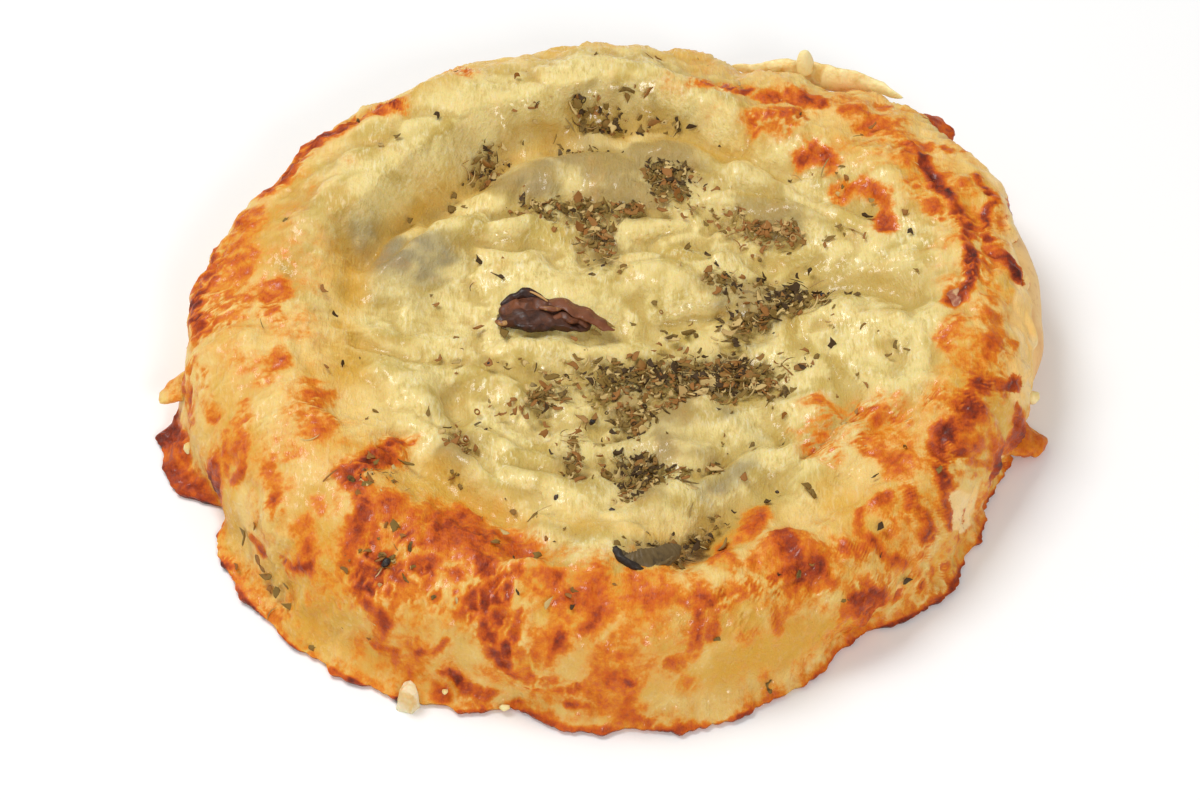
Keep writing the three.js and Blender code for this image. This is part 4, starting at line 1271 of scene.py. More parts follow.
def crease_shade_depth(level, values, height):
    """How deep in a crease each point lies, from 0 to 1, which sets how much shade is painted there: a
    weighted sum of how far it lies below the blurred surface, wide and narrow, and below the plain one."""
    wide = np.clip((blurred(level, 5) - level) / 0.4, 0, 1)
    narrow = np.clip((blurred(level, 2) - level) / 0.1, 0, 1)
    low = np.clip(-level / 1.8, 0, 1)
    deep = np.clip(0.55 * wide + 0.5 * narrow + 0.4 * low, 0, 1)
    return deep * smooth(height, 8, 12) * lerp(0.35, 1, values["fresh"])


class PIZZA_OT_cheese(bpy.types.Operator):
    """Make the cheese: its profile carried round on a disc grid, folded, and pushed out by its relief"""

    bl_idname = "pizza.cheese"
    bl_label = "Melted cheese"

    def execute(self, context):
        settings = context.scene.pizza_cheese
        share, bearing = disc_grid(CHEESE_STEPS)
        v = self.even_shares(share)
        radius, height = cheese_point(bearing, v, settings.raggedness)
        grid = placed(bearing, radius, height)
        x, y = grid[..., 0], grid[..., 1]
        folds = fold_height(x, y, BROAD_FOLDS) + fold_height(x, y, FINE_FOLDS)
        grid[..., 2] += smooth(height, 6, 9) * folds
        values = cheese_values(grid, bearing, height)
        relief = cheese_relief(grid, values, values.pop("strand_and_highlight"), settings)
        # The relief fades out towards the edge, stays off the tray, and its peaks are pressed together.
        fade = 1 - smooth(v, 0.955, 0.995)
        grid += outward_normals(grid) * (relief * fade)[..., None]
        grid[..., 2] = np.maximum(grid[..., 2], TRAY_GAP)
        above = np.maximum(grid[..., 2] - PEAK_HEIGHT, 0)
        grid[..., 2] -= above - PEAK_ROOM * (1 - np.exp(-above / PEAK_ROOM))
        # Painted shade in the creases, by how deep each point lies in them.
        values["crease_shade"] = crease_shade_depth(0.8 * folds + relief, values, height)
        points, faces, order = self.closed_below(grid, bearing, settings)
        for key, value in values.items():
            values[key] = np.concatenate([value.ravel(), value.ravel()[order]])
        faces = facing_out(points, faces)
        for lump in SIDE_LUMPS:
            points, faces, values = self.with_lump(points, faces, values, *lump)
        material = self.material(settings, context.scene.pizza_base)
        add_piece("cheese", points, faces, material, "cheese", "cheese", values)
        return {"FINISHED"}

    def with_lump(self, points, faces, values, marks, half_width, half_thickness, roll, rough, constants):
        """Adds a tongue of cheese that stands out of the side, with its own colour masks."""
        path = [placed(np.float64(bearing), radius, height) for bearing, radius, height in marks]
        grid = swept(path, half_width, half_thickness, roll, LUMP_MESH, 0.5)
        grid += rough * pushes(grid, 3.2, (111, 114, 117), 3)
        grid[..., 2] = np.maximum(grid[..., 2], TRAY_GAP)
        lump, groups = closed_surface(grid)
        faces = faces + [group + len(points) for group in groups]
        added = {key: np.full(len(lump), constants.get(key, 0.0)) for key in values}
        added["brown"] = constants["brown"] + 0.35 * layered(lump, 2.6, 119, 2)
        added["mottle"] = 0.5 + 0.5 * noise(lump, 5, 121)
        added["patch"] = 0.5 + 0.5 * noise(lump, 3, 122)
        values = {key: np.concatenate([value, added[key]]) for key, value in values.items()}
        return np.concatenate([points, lump]), faces, values

    def even_shares(self, share):
        """Place along the profile for each share of the way out, so that rings lie evenly spaced on a
        typical cross-section, and closer at the edge."""
        v = np.linspace(0, 1, 200)
        lengths = 0
        for bearing in (200.0, 270.0, 300.0, 90.0):
            radius, height = cheese_point(np.full(v.shape, bearing), v)
            steps = np.hypot(np.diff(radius), np.diff(height)) * (1 + 1.6 * smooth(v[1:], 0.93, 0.99))
            lengths = lengths + np.concatenate([[0], np.cumsum(steps)])
        return np.interp(share, lengths / lengths[-1], v)

    def closed_below(self, grid, bearing, settings):
        """Closes the cap with rings under its edge: along the tray below the skirt, and inside the
        dough elsewhere, down to one point in the middle."""
        steps = len(grid)
        index = np.arange(steps * steps).reshape(steps, steps)
        quads = np.stack([index[:-1, :-1], index[1:, :-1], index[1:, 1:], index[:-1, 1:]], -1)
        quads = quads.reshape(-1, 4)
        rim = np.concatenate([index[0, :-1], index[:-1, -1], index[-1, :0:-1], index[:0:-1, 0]])
        flat = grid.reshape(-1, 3)
        edge, turn = flat[rim], bearing.ravel()[rim]
        section = section_at(turn, settings.raggedness)
        radius = np.hypot(edge[:, 0], edge[:, 1])
        level = np.maximum(section["edge"] - 0.5, 0.02)
        rings = [
            placed(turn, radius - 0.35, np.minimum(level, np.maximum(edge[:, 2] - 0.4, 0.02))),
            placed(turn, radius - 1.2, level),
            placed(turn, section["bulge"] - 8, np.maximum(level, 1.0)),
        ]
        points = np.concatenate([flat, *rings, [[0, 0, 2]]])
        first = len(flat) + np.arange(len(rings))[:, None] * len(rim) + np.arange(len(rim))
        chain = np.concatenate([rim[None], first])
        after = np.roll(chain, -1, axis=1)
        below = np.stack([chain[:-1], chain[1:], after[1:], after[:-1]], -1).reshape(-1, 4)
        last = np.stack([chain[-1], 0 * chain[-1] + len(points) - 1, after[-1]], -1)
        # The rings below are turned round where they would face the other way from the grid's quads.
        spin = np.cross(flat[quads[0, 1]] - flat[quads[0, 0]], flat[quads[0, 2]] - flat[quads[0, 0]])[2]
        ring_area = np.sum(edge[:, 0] * np.roll(edge[:, 1], -1) - np.roll(edge[:, 0], -1) * edge[:, 1])
        if np.sign(spin) == np.sign(ring_area):
            below, last = below[:, ::-1], last[:, ::-1]
        order = np.concatenate([*[rim] * len(rings), rim[:1]])
        return points, [quads, below, last], order

    def material(self, settings, base):
        material, tree, shader = new_material(
            "melted cheese", Subsurface_Weight=0.4, Subsurface_Scale=0.0013, Coat_Roughness=0.13,
            Specular_IOR_Level=0.26)
        shader.inputs["Subsurface Radius"].default_value = (1.0, 0.7, 0.32)
        brown, fresh, oil_and_shade, under, stain, bare, crease_shade, mottle, patch = [
            attribute(tree, name)
            for name in ("brown", "fresh", "oil_and_shade", "under", "stain", "bare", "crease_shade", "mottle", "patch")
        ]
        fine = grain(tree, 0.8, 2, 0.6)
        coordinates = node(tree, "ShaderNodeTexCoord").outputs["Object"]
        drawn_out = {"Vector": coordinates, "Rotation": (0, 0, 0.3), "Scale": (1.0, 0.24, 1.0)}
        turned = node(tree, "ShaderNodeMapping", drawn_out).outputs[0]
        fibres = grain(tree, 0.5, 2, 0.7, 0.3, turned)
        # Cream and straw on the rim, and curd in the basin, with painted highlight on the fibres and
        # painted shade in the grooves between them.
        colour = laid_over(tree, settings.cream, (mottle, 0.35, 0.8, 1.0, settings.straw))
        curd = laid_over(tree, settings.curd, (patch, 0.4, 0.85, 0.9, DEEP_CURD))
        colour = laid_over(tree, colour, (fresh, 0.0, 1.0, 1.0, curd))
        combed = times(tree, ramped(tree, grain(tree, 5, 1, 0.5, 0.5), 0.35, 0.6, 0.3, 1.0), fresh)
        groove_shade = times(tree, ramped(tree, fibres, 0.3, 0.5, 0.5, 0.0), combed)
        colour = blended(tree, groove_shade, colour, FIBRE_SHADE)
        painted_sheen = ramped(tree, fibres, 0.48, 0.72, 0.0, 0.6)
        colour = blended(tree, times(tree, painted_sheen, larger(tree, combed, 0.4)), colour, FIBRE_HIGHLIGHT)
        # Stains from herbs in sage. Slate where dark filling shows through, and painted shade in valleys,
        # creases and beside the mushroom. Gold in oily pools, and painted shade in creases and other low
        # places: gold on the rim, a deep curd in the basin.
        stained = times(tree, stain, ramped(tree, patch, 0.1, 0.7, 0.4, 1.0))
        filling_and_shade = times(tree, under, ramped(tree, patch, 0.1, 0.6, 0.55, 1.0))
        oil_and_crease_shade = plus(tree, oil_and_shade, times(tree, crease_shade, 0.8))
        oil_and_crease_shade = plus(tree, oil_and_crease_shade, off_middle(tree, patch, 0.4))
        deep = blended(tree, fresh, settings.gold, CREASE_SHADE_CURD)
        colour = laid_over(
            tree, colour, (stained, 0.0, 0.9, 0.85, settings.sage),
            (filling_and_shade, 0.1, 0.9, 0.85, settings.slate), (oil_and_crease_shade, 0.1, 1.0, 0.85, deep),
        )
        tones = (settings.amber, settings.orange, settings.rust, settings.maroon, settings.char)
        inputs = {"Colour": colour, "Level": brown, "Breakup": 1.0}
        baked = use_group(tree, browning_group(tones), inputs)
        dough = laid_over(tree, base.dough, (patch, 0.3, 0.8, 0.5, FLOURY_DOUGH))
        unbaked = ramped(tree, baked["Level"], 0.35, 0.6, 1.0, 0.0)
        window = times(tree, ramped(tree, bare, 0.35, 0.6), unbaked)
        colour = blended(tree, window, baked["Colour"], dough)
        # Wet where there is oil, in browned cores and in the basin, where the grain lets it glint.
        wet = larger(tree, ramped(tree, oil_and_shade, 0.3, 0.9), ramped(tree, baked["Level"], 0.5, 1.1, 0.0, 0.3))
        wet = larger(tree, times(tree, wet, 0.6), ramped(tree, fresh, 0.0, 1.0, 0.35, 0.6))
        glints = ramped(tree, plus(tree, fine, fibres), 0.98, 1.16)
        roughness = ramped(tree, fine, 0.35, 0.7, 0.62, 0.44)
        feed(tree, shader, Base_Color=colour, Roughness=roughness, Coat_Weight=times(tree, wet, glints))
        relief = use_group(tree, grain_group(), {"Size": 1.1, "Pores": 0.8})
        connect_bump(tree, shader, plus(tree, relief["Height"], times(tree, fibres, 0.2)), 0.9)
        return material


# ---- Toppings ----

# The olive's and the mushroom's parts, as joined_tongues takes them.
OLIVE_PARTS = [
    ([(-15, -0.8, 12.2), (-11.5, -0.9, 12.8), (-7.4, -0.8, 12.6), (-2.6, -2.0, 12.0)],
     [1.8, 2.8, 2.4, 0.9], [0.9, 1.2, 1.0, 0.5], -10, 0.3, 0.45, 0),
    ([(-14.6, 0.2, 12.5), (-12.4, 0.8, 13.1), (-9.6, 0.8, 13.4), (-7, 0.2, 13.1)],
     [1.2, 1.8, 1.5, 0.9], [0.7, 0.9, 0.8, 0.5], -18, 0.55, 0.5, 0),
    ([(-14.4, 1.0, 12.9), (-12.4, 2.3, 13.7), (-10.4, 2.1, 13.9), (-8, 1.2, 13.3)],
     [0.6, 0.8, 0.5], [0.5, 0.6, 0.4], 10, 0.1, 0.35, 0),
    ([(-14.2, -1.6, 12.3), (-11.8, -2.9, 12.8), (-9.2, -3.0, 12.8), (-6.4, -2.2, 12.4)],
     [0.8, 1.1, 0.7], [0.7, 0.8, 0.5], -20, 0.15, 0.35, 0),
    ([(-10.5, 1.6, 12.8), (-7.2, 1.0, 13.7), (-4.0, -0.6, 13.3), (-1.6, -2.0, 12.7), (0.6, -2.9, 12.1)],
     [1.0, 1.6, 1.5, 1.0, 0.3], [0.4, 0.45, 0.4, 0.25], -20, 0.66, 0.4, 0),
    ([(-8.4, -1.2, 12.9), (-7.4, -2.4, 13.6), (-6.4, -1.2, 13.5), (-5.4, -2.6, 13.4), (-4.4, -1.4, 13.1),
      (-3.2, -2.8, 12.6)], [0.5, 0.7, 0.5], [0.35, 0.4, 0.3], 0, 0.55, 0.2, 0),
    ([(-9.6, -0.6, 14.1), (-8.0, -1.2, 14.3), (-6.6, -0.8, 14.0)],
     [0.3, 0.4, 0.3], [0.2, 0.25, 0.2], 0, 0.85, 0.1, 0),
    ([(-15.2, -1.7, 12.6), (-14.6, -2.6, 13.1), (-13.5, -2.3, 12.9)],
     [0.35, 0.4, 0.35], [0.3, 0.3, 0.3], 0, 0.95, 0.1, 0),
    ([(-10.8, 2.0, 14.5), (-9.8, 1.3, 14.7), (-8.4, 0.3, 14.3)],
     [0.14, 0.18, 0.14], [0.12, 0.14, 0.12], 0, 1.2, 0.03, 0),
]
MUSHROOM_PARTS = [
    ([(0.4, -45.2, 15.2), (1.3, -47.2, 15.2), (3.6, -47.4, 14.9), (6.2, -46.0, 14.6), (8.4, -43.8, 14.3)],
     [0.5, 1.0, 1.7, 1.6, 0.6], [0.35, 0.5, 0.6, 0.6, 0.3], 24, 0.5, 0.25, 0.09),
    ([(0.3, -45.0, 15.6), (0.9, -46.9, 15.7), (2.2, -48.0, 15.4), (4.2, -48.4, 14.9)],
     [0.45, 0.6, 0.45], [0.4, 0.5, 0.35], 0, 0.0, 0.2, 0),
    ([(4.2, -48.0, 14.9), (6.2, -47.1, 14.7), (7.8, -45.6, 14.5)],
     [0.15, 0.25, 0.2], [0.2, 0.2, 0.2], 0, 0.75, 0.12, 0),
]


class PIZZA_OT_olive(bpy.types.Operator):
    """Make the dark olive: a crumpled slice of swept tongues, with a thin wing at the right"""

    bl_idname = "pizza.olive"
    bl_label = "Olive"

    def execute(self, context):
        points, faces, tone = joined_tongues(OLIVE_PARTS, 1.9, (21, 23, 25))
        material = self.material(context.scene.pizza_toppings)
        add_piece("olive", points, faces, material, "olive", "olive", {"tone": tone})
        return {"FINISHED"}

    def material(self, settings):
        material, tree, shader = new_material("olive skin", Coat_Roughness=0.25, Specular_IOR_Level=0.28)
        mottle = grain(tree, 0.9, 2, 0.6, 0.6)
        tone = plus(tree, attribute(tree, "tone"), off_middle(tree, mottle, 0.7))
        colour = laid_over(
            tree, OLIVE_BLACK, (tone, 0.0, 0.4, 1.0, settings.olive),
            (tone, 0.35, 0.75, 1.0, settings.olive_flesh), (tone, 0.8, 1.05, 1.0, OLIVE_STRAW),
        )
        roughness = ramped(tree, mottle, 0.3, 0.7, 0.42, 0.6)
        feed(tree, shader, Roughness=roughness, Coat_Weight=ramped(tree, mottle, 0.4, 0.6, 0.22, 0.0))
        painted(tree, shader, colour, 0.5, 0.5, 0.7)
        return material


class PIZZA_OT_mushroom(bpy.types.Operator):
    """Make the end of a mushroom slice: a ribbed brown tongue with a dark tip and a pale bit of edge"""

    bl_idname = "pizza.mushroom"
    bl_label = "Mushroom slice"

    def execute(self, context):
        points, faces, tone = joined_tongues(MUSHROOM_PARTS, 1.4, (31, 33, 35))
        material = self.material(context.scene.pizza_toppings)
        add_piece("mushroom_slice", points, faces, material, "mushroom", "mushroom_slice", {"tone": tone})
        return {"FINISHED"}

    def material(self, settings):
        material, tree, shader = new_material(
            "cooked mushroom", Roughness=0.5, Coat_Weight=0.12, Coat_Roughness=0.25,
            Specular_IOR_Level=0.25)
        tone = plus(tree, attribute(tree, "tone"), off_middle(tree, grain(tree, 1.1, 2, 0.6, 0.6), 0.9))
        colour = laid_over(
            tree, MUSHROOM_TIP, (tone, 0.05, 0.5, 1.0, settings.mushroom),
            (tone, 0.7, 1.0, 1.0, MUSHROOM_EDGE),
        )
        painted(tree, shader, colour, 0.5, 0.7, 0.7)
        return material


# Half sizes of the ham, place of its middle, and tilt and turn in degrees.
HAM_HALVES = (2.7, 4, 0.8)
HAM_PLACE = (46.1, -1.4, 16.3)
HAM_TILT = -6
HAM_TURN = 12


class PIZZA_OT_ham(bpy.types.Operator):
    """Make the scrap of ham: a thin flat bit with an uneven outline, pressed into the cheese"""

    bl_idname = "pizza.ham"
    bl_label = "Ham scrap"

    def execute(self, context):
        down, around = ball_angles(*HAM_MESH)
        outline = 1 + 0.1 * np.sin(2 * around + 0.6) + 0.05 * np.cos(5 * around)
        spread = np.sin(down) ** 0.75 * (outline + 0.03 * np.cos(11 * around + 1))
        flat = np.stack([spread * np.cos(around), spread * np.sin(around), np.cos(down)], -1) * HAM_HALVES
        flat[..., 2] += 0.2 * noise(flat, 1.8, 36) * (np.cos(down) > 0)
        tilt, turn = np.radians(HAM_TILT), np.radians(HAM_TURN)
        x, y, z = np.moveaxis(flat, -1, 0)
        x, z = x * np.cos(tilt) + z * np.sin(tilt), z * np.cos(tilt) - x * np.sin(tilt)
        x, y = x * np.cos(turn) - y * np.sin(turn), x * np.sin(turn) + y * np.cos(turn)
        material = self.material(context.scene.pizza_toppings)
        surface = closed_surface(np.stack([x, y, z], -1) + HAM_PLACE)
        add_piece("ham_scrap", *surface, material, "ham", "ham_scrap")
        return {"FINISHED"}

    def material(self, settings):
        material, tree, shader = new_material(
            "baked ham", Roughness=0.5, Subsurface_Weight=0.15, Subsurface_Scale=0.001, Coat_Weight=0.1,
            Coat_Roughness=0.3)
        mottle, fat = grain(tree, 1.6, 3, 0.6, 0.8), grain(tree, 1.3, 2)
        colour = laid_over(
            tree, settings.ham, (mottle, 0.35, 0.65, 1.0, HAM_BROWN), (fat, 0.5, 0.66, 0.8, HAM_FAT))
        painted(tree, shader, colour, 0.8, 0.9, 0.7)
        return material


# The crumb is a block cut by planes: direction and distance in mm from its middle.
CRUMB_PLANES = [
    (1, 0.25, 0.08, 1.2), (-1, 0.3, 0.12, 1.05), (0.2, 1, 0.1, 1.5), (-0.3, -1, 0.12, 1.35),
    (0.3, -0.3, 1, 1.45), (0, 0, -1, 1.4), (0.8, -0.75, 0.2, 1.3), (-0.8, -0.6, 0.3, 1.3),
    (-0.6, 0.4, 0.8, 1.5), (0.9, 0.7, 0.5, 1.6),
]
CRUMB_PLACE = (-25.3, -57.2, 1.4)
# Ends of the shred in degrees of bearing, how far it hangs out from the dough, its height at the far end
# and how much higher it is at the near end, and its half width and half height.
SHRED_ENDS = (47, 72)
SHRED_REACH = 2.6
SHRED_HEIGHT = 10.4
SHRED_RISE = 1.6
SHRED_HALVES = (1.1, 2.2)
# The nub that stands up on the shred: path, half widths and half thicknesses.
NUB = ([(27.6, 49, 12.4), (27.4, 49.4, 14.4), (27.2, 49.8, 16)], [1.6, 1.3, 0.5], [1.2, 0.9, 0.4])


class PIZZA_OT_scraps(bpy.types.Operator):
    """Make the pale bits at the edge: the white crumb, the slipped shred and small nuggets of cheese"""

    bl_idname = "pizza.scraps"
    bl_label = "Crumb, shred and nuggets"

    def execute(self, context):
        settings = context.scene.pizza_toppings
        crumb = self.pale_material("white crumb", settings.crumb, 0.6)
        shred = self.pale_material("pale shred", settings.shred, 0.45)
        add_piece("cheese_crumb", *self.crumb(), crumb, "crumb", "cheese_crumb")
        add_piece("cheese_shred", *self.shred(), shred, "shred", "cheese_shred")
        self.nuggets(shred)
        return {"FINISHED"}

    def crumb(self):
        """A ball whose radius each way is the least, over all planes, of distance over cosine."""
        down, around = ball_angles(*CRUMB_MESH)
        ways, planes = ball(down, around), np.array(CRUMB_PLANES)
        facing = ways @ (planes[:, :3] / np.linalg.norm(planes[:, :3], axis=1, keepdims=True)).T
        grid = ways * np.min(planes[:, 3] / np.maximum(facing, 0.05), axis=-1)[..., None]
        grid += 0.1 * pushes(grid, 0.9, (51, 52, 53), 1) * np.sin(down)[..., None]
        grid += CRUMB_PLACE
        grid[..., 2] = np.maximum(grid[..., 2], 0)
        return closed_surface(grid)

    def shred(self):
        """An ellipse carried round outside the dough, thinned to its ends by a power of a sine, and a
        nub."""
        along, around = solid_rows(*SHRED_MESH)
        fullness = np.sin(np.pi * along) ** 0.7
        bearing = lerp(*SHRED_ENDS, along)
        half_width, half_height = SHRED_HALVES
        radius = section_at(bearing)["bulge"] + SHRED_REACH - half_width * fullness * np.sin(around)
        height = SHRED_HEIGHT + SHRED_RISE * (1 - along) + half_height * fullness * np.cos(around)
        grid = placed(bearing, radius, height)
        points, faces = closed_surface(grid + 0.3 * pushes(grid, 3, (54, 57, 60), 3))
        nub, nub_faces = closed_surface(swept(*NUB, 0, NUB_MESH))
        return np.concatenate([points, nub]), faces + [group + len(points) for group in nub_faces]

    def nuggets(self, material):
        """Small lumps: one lumpy ball, at each place in its own sizes."""
        points, faces = lumpy_ball(NUGGET_MESH, 0.22, 1.6, 59)
        marks = np.array(NUGGETS)
        places = placed(*marks[:, :3].T)
        spins = np.repeat(np.eye(3)[None], len(places), 0)
        add_piece("nuggets", *repeated(points, faces, spins, marks[:, 3:], places), material, "shred")

    def pale_material(self, name, colour, roughness):
        material, tree, shader = new_material(
            name, Roughness=roughness, Subsurface_Weight=0.2, Subsurface_Scale=0.0015)
        deeper = [c * factor for c, factor in zip(colour, PALE_SHADE)]
        mixed = laid_over(tree, colour, (grain(tree, 2.2, 3, 0.6, 0.5), 0.4, 0.68, 1.0, deeper))
        painted(tree, shader, mixed, 0.9, 1.0, 0.8)
        return material


# ---- Herbs ----

def matrices(rows):
    """One 3 x 3 matrix for each bit, from rows of arrays."""
    return np.stack([np.stack(row, -1) for row in rows], 1)


def spins_on_slopes(rng, turn, lean, slopes):
    """Turns about the vertical, a lean about a random level axis, and a tilt that takes the vertical to
    the cheese's slope, as one 3 x 3 matrix for each bit."""
    count = len(turn)
    lean, axis = rng.normal(0, lean, count), rng.uniform(0, 2 * np.pi, count)
    zero, one = np.zeros(count), np.ones(count)
    c, s = np.cos(turn), np.sin(turn)
    about_z = matrices([[c, -s, zero], [s, c, zero], [zero, zero, one]])
    ux, uy, c, s = np.cos(axis), np.sin(axis), np.cos(lean), np.sin(lean)
    k = 1 - c
    leaned = matrices([
        [c + ux * ux * k, ux * uy * k, uy * s],
        [ux * uy * k, c + uy * uy * k, -ux * s],
        [-uy * s, ux * s, c],
    ])
    first = np.cross([[0, 1.0, 0]], slopes)
    first = first / np.linalg.norm(first, axis=1, keepdims=True)
    return np.stack([first, np.cross(slopes, first), slopes], -1) @ leaned @ about_z


# Bow, tear and phase of each leaf shape, and bow of each stem shape.
LEAF_SHAPES = [(0.5, 0.25, 0.4), (-0.4, 0.35, 1.5), (0.9, 0.2, 2.6), (0.3, 0.45, 3.7), (0.1, 0.3, 4.8)]
STEM_BOWS = (0.3, -0.2, 0.9)
# Share of the bits, length factor, least straw and lean of the leaves, the stems and the husks.
LEAF_SHARES = (0.78, 1.0, 0.0, 0.5)
STEM_SHARES = (0.17, 1.8, 0.4, 0.3)
HUSK_SHARES = (0.05, 0.8, 0.4, 0.5)
# Spread of the bits round a clump's middle, as a share of the clump's half sizes.
SPREAD = 0.92


def leaf_shape(bow, pinch, phase):
    """A thin crumb of leaf: rings of an ellipse with a torn outline, bent along and across its length."""
    down, around = ball_angles(*LEAF_MESH)
    torn = pinch * np.cos(3 * around + phase) + 0.6 * pinch * np.cos(2 * around - 2 * phase)
    outline = np.sin(down) ** 0.7 * (1 + torn)
    x, y = 0.5 * outline * np.cos(around), 0.3 * outline * np.sin(around)
    z = 0.07 * np.cos(down) + bow * x * x + 1.4 * bow * y * y + 0.05 * np.sin(7 * x + phase)
    return closed_surface(np.stack([x, y, z], -1))


def stem_shape(bow):
    """A thin stem: small rings along a bowed line."""
    along, around = solid_rows(*STEM_MESH)
    thickness = 0.035 * np.sin(np.pi * along) ** 0.3
    x = along - 0.5
    y = bow * x * x + thickness * np.cos(around)
    return closed_surface(np.stack([x, y, thickness * np.sin(around)], -1))


def husk_shape():
    """A small open seed husk: a ring whose section is a thin ellipse, closed round."""
    around, section = np.meshgrid(*[np.arange(n) * 2 * np.pi / n for n in HUSK_MESH], indexing="ij")
    reach = 0.38 + 0.11 * np.cos(section)
    points = np.stack([reach * np.cos(around), 0.7 * reach * np.sin(around), 0.2 * np.sin(section)], -1)
    index = np.arange(around.size).reshape(HUSK_MESH)
    turned, next_one = np.roll(index, -1, 0), np.roll(index, -1, 1)
    quads = np.stack([index, turned, np.roll(turned, -1, 1), next_one], -1)
    return points.reshape(-1, 3), [quads.reshape(-1, 4)]


def side_place(bearing, height):
    """Place in plan of the point at this height on the cheese's side."""
    v = np.linspace(0.55, 1, 240)
    radius, level = cheese_point(np.full(v.shape, float(bearing)), v)
    reach = np.interp(height, level[::-1], radius[::-1])
    return reach * math.cos(math.radians(bearing)), reach * math.sin(math.radians(bearing))


class PIZZA_OT_herbs(bpy.types.Operator):
    """Scatter dried herb: leaf bits, stems and seed husks in clumps, and a few peppercorn bits"""

    bl_idname = "pizza.herbs"
    bl_label = "Herbs and pepper"

    def execute(self, context):
        settings = context.scene.pizza_herbs
        rng = np.random.default_rng(settings.seed)
        # Known fault: this name finds the CAD solid of the cheese, as the visual piece is cheese.001. So
        # some bits stand up to 2 mm off the visible surface, and others lie under it.
        mesh = bpy.data.objects["cheese"].data
        ground = BVHTree.FromPolygons([v.co for v in mesh.vertices], [p.vertices for p in mesh.polygons])
        material = self.material(settings)
        # Each single bit is x, y, length, turn in radians, tone and straw.
        leaves, stems = [], []
        for tone, bits in SINGLE_BITS.items():
            leaves += [(x, y, length, 0.7 * x + y, tone, 0) for x, y, length in bits]
        for x, y, length, turn in SINGLE_STEMS:
            stems.append((x, y, length, math.radians(turn), 0.8, 0.9))
        for bearing, height, length, turn, tone in SIDE_BITS:
            bit = (*side_place(bearing, height), length, math.radians(turn), tone, max(tone - 1, 0) * 1.4)
            (stems if tone == PALE_TONE else leaves).append(bit)
        for name, shapes, shares, singles in (
            ("herb_leaves", [leaf_shape(*sizes) for sizes in LEAF_SHAPES], LEAF_SHARES, leaves),
            ("herb_stems", [stem_shape(bow) for bow in STEM_BOWS], STEM_SHARES, stems),
            ("herb_husks", [husk_shape()], HUSK_SHARES, [SINGLE_HUSK]),
        ):
            share, factor, pale, lean = shares
            bits = self.clumped(rng, share, factor, pale, settings)
            bits = np.concatenate([bits, np.array(singles, float)])
            self.scatter(rng, ground, bits, lean, factor > 1, shapes, name, material)
        self.pepper(rng, ground)
        return {"FINISHED"}

    def clumped(self, rng, share, factor, pale, settings):
        """Bits spread round each clump's middle by a normal law: x, y, length, turn, tone and straw."""
        rows = []
        for cx, cy, half_length, half_width, turn, count, lift in HERB_CLUMPS:
            c, s = math.cos(math.radians(turn)), math.sin(math.radians(turn))
            total = max(round(count * share * settings.amount), 1)
            along, across = rng.normal(0, SPREAD, (2, total)) * np.array([[half_length], [half_width]])
            usual = factor * settings.flake_length / MM
            length = usual * np.exp(rng.normal(0, 0.42, total)).clip(0.4, 2.3)
            straw = pale + 0.5 * rng.random(total) + 0.6 * (rng.random(total) > 0.8)
            tone = (rng.random(total) + lift).clip(0, 1)
            rows.append(np.stack([
                cx + along * c - across * s, cy + along * s + across * c, length,
                rng.uniform(0, 2 * np.pi, total), tone, straw], -1))
        return np.concatenate(rows)

    def on_ground(self, ground, spots):
        """Place and slope of the ground straight below each spot, and which spots have ground below."""
        down = Vector((0, 0, -1))
        hits = [ground.ray_cast(Vector((x * MM, y * MM, RAY_HEIGHT)), down)[:2] for x, y in spots]
        found = np.array([place is not None for place, _ in hits])
        hits = [hit for hit, there in zip(hits, found) if there]
        return np.array([place for place, _ in hits]) / MM, np.array([slope for _, slope in hits]), found

    def scatter(self, rng, ground, bits, lean, thin, shapes, name, material):
        """Lays the bits on the ground as one mesh, each in one of the shapes, at its own length."""
        places, slopes, found = self.on_ground(ground, bits[:, :2])
        length, turn, tone, straw = bits[found, 2:].T
        count = len(places)
        across = np.where(thin, length, length * rng.uniform(0.55, 1.25, count))
        sizes = np.stack([length, across, np.where(thin, 1.6, length)], -1)
        spins = spins_on_slopes(rng, turn, lean, slopes)
        places = places + slopes * (0.02 + 0.28 * rng.random(count) ** 2)[:, None]
        which = rng.integers(0, len(shapes), count)
        all_points, all_faces, tones, straws, start = [], [], [], [], 0
        for i, (points, faces) in enumerate(shapes):
            chosen = which == i
            made, groups = repeated(points, faces, spins[chosen], sizes[chosen], places[chosen])
            all_points.append(made)
            all_faces += [group + start for group in groups]
            start += len(made)
            tones.append(np.repeat(tone[chosen], len(points)))
            straws.append(np.repeat(straw[chosen], len(points)))
        made = np.concatenate(all_points)
        values = {"tone": np.concatenate(tones), "straw": np.concatenate(straws)}
        add_piece(name, made, facing_out(made, all_faces), material, values=values)

    def pepper(self, rng, ground):
        """Peppercorn bits: small lumpy balls, each pressed a little into the ground."""
        marks = np.array(PEPPER_BITS)
        places, slopes, found = self.on_ground(ground, marks[:, :2])
        radii = marks[found, 2]
        sizes = radii[:, None] * rng.uniform(0.8, 1.2, (len(places), 3))
        places[:, 2] += radii * 0.45
        spins = spins_on_slopes(rng, rng.uniform(0, 2 * np.pi, len(places)), 1.0, slopes)
        points, faces = repeated(*lumpy_ball(PEPPER_MESH, 0.25, 1.3, 66), spins, sizes, places)
        material, tree, shader = new_material("cracked pepper", Roughness=0.5)
        colour = laid_over(tree, PEPPER_DARK, (grain(tree, 0.5, 2), 0.4, 0.65, 1.0, PEPPER_LIGHT))
        painted(tree, shader, colour, 0.4, 1.0, 0.8)
        add_piece("pepper", points, faces, material)

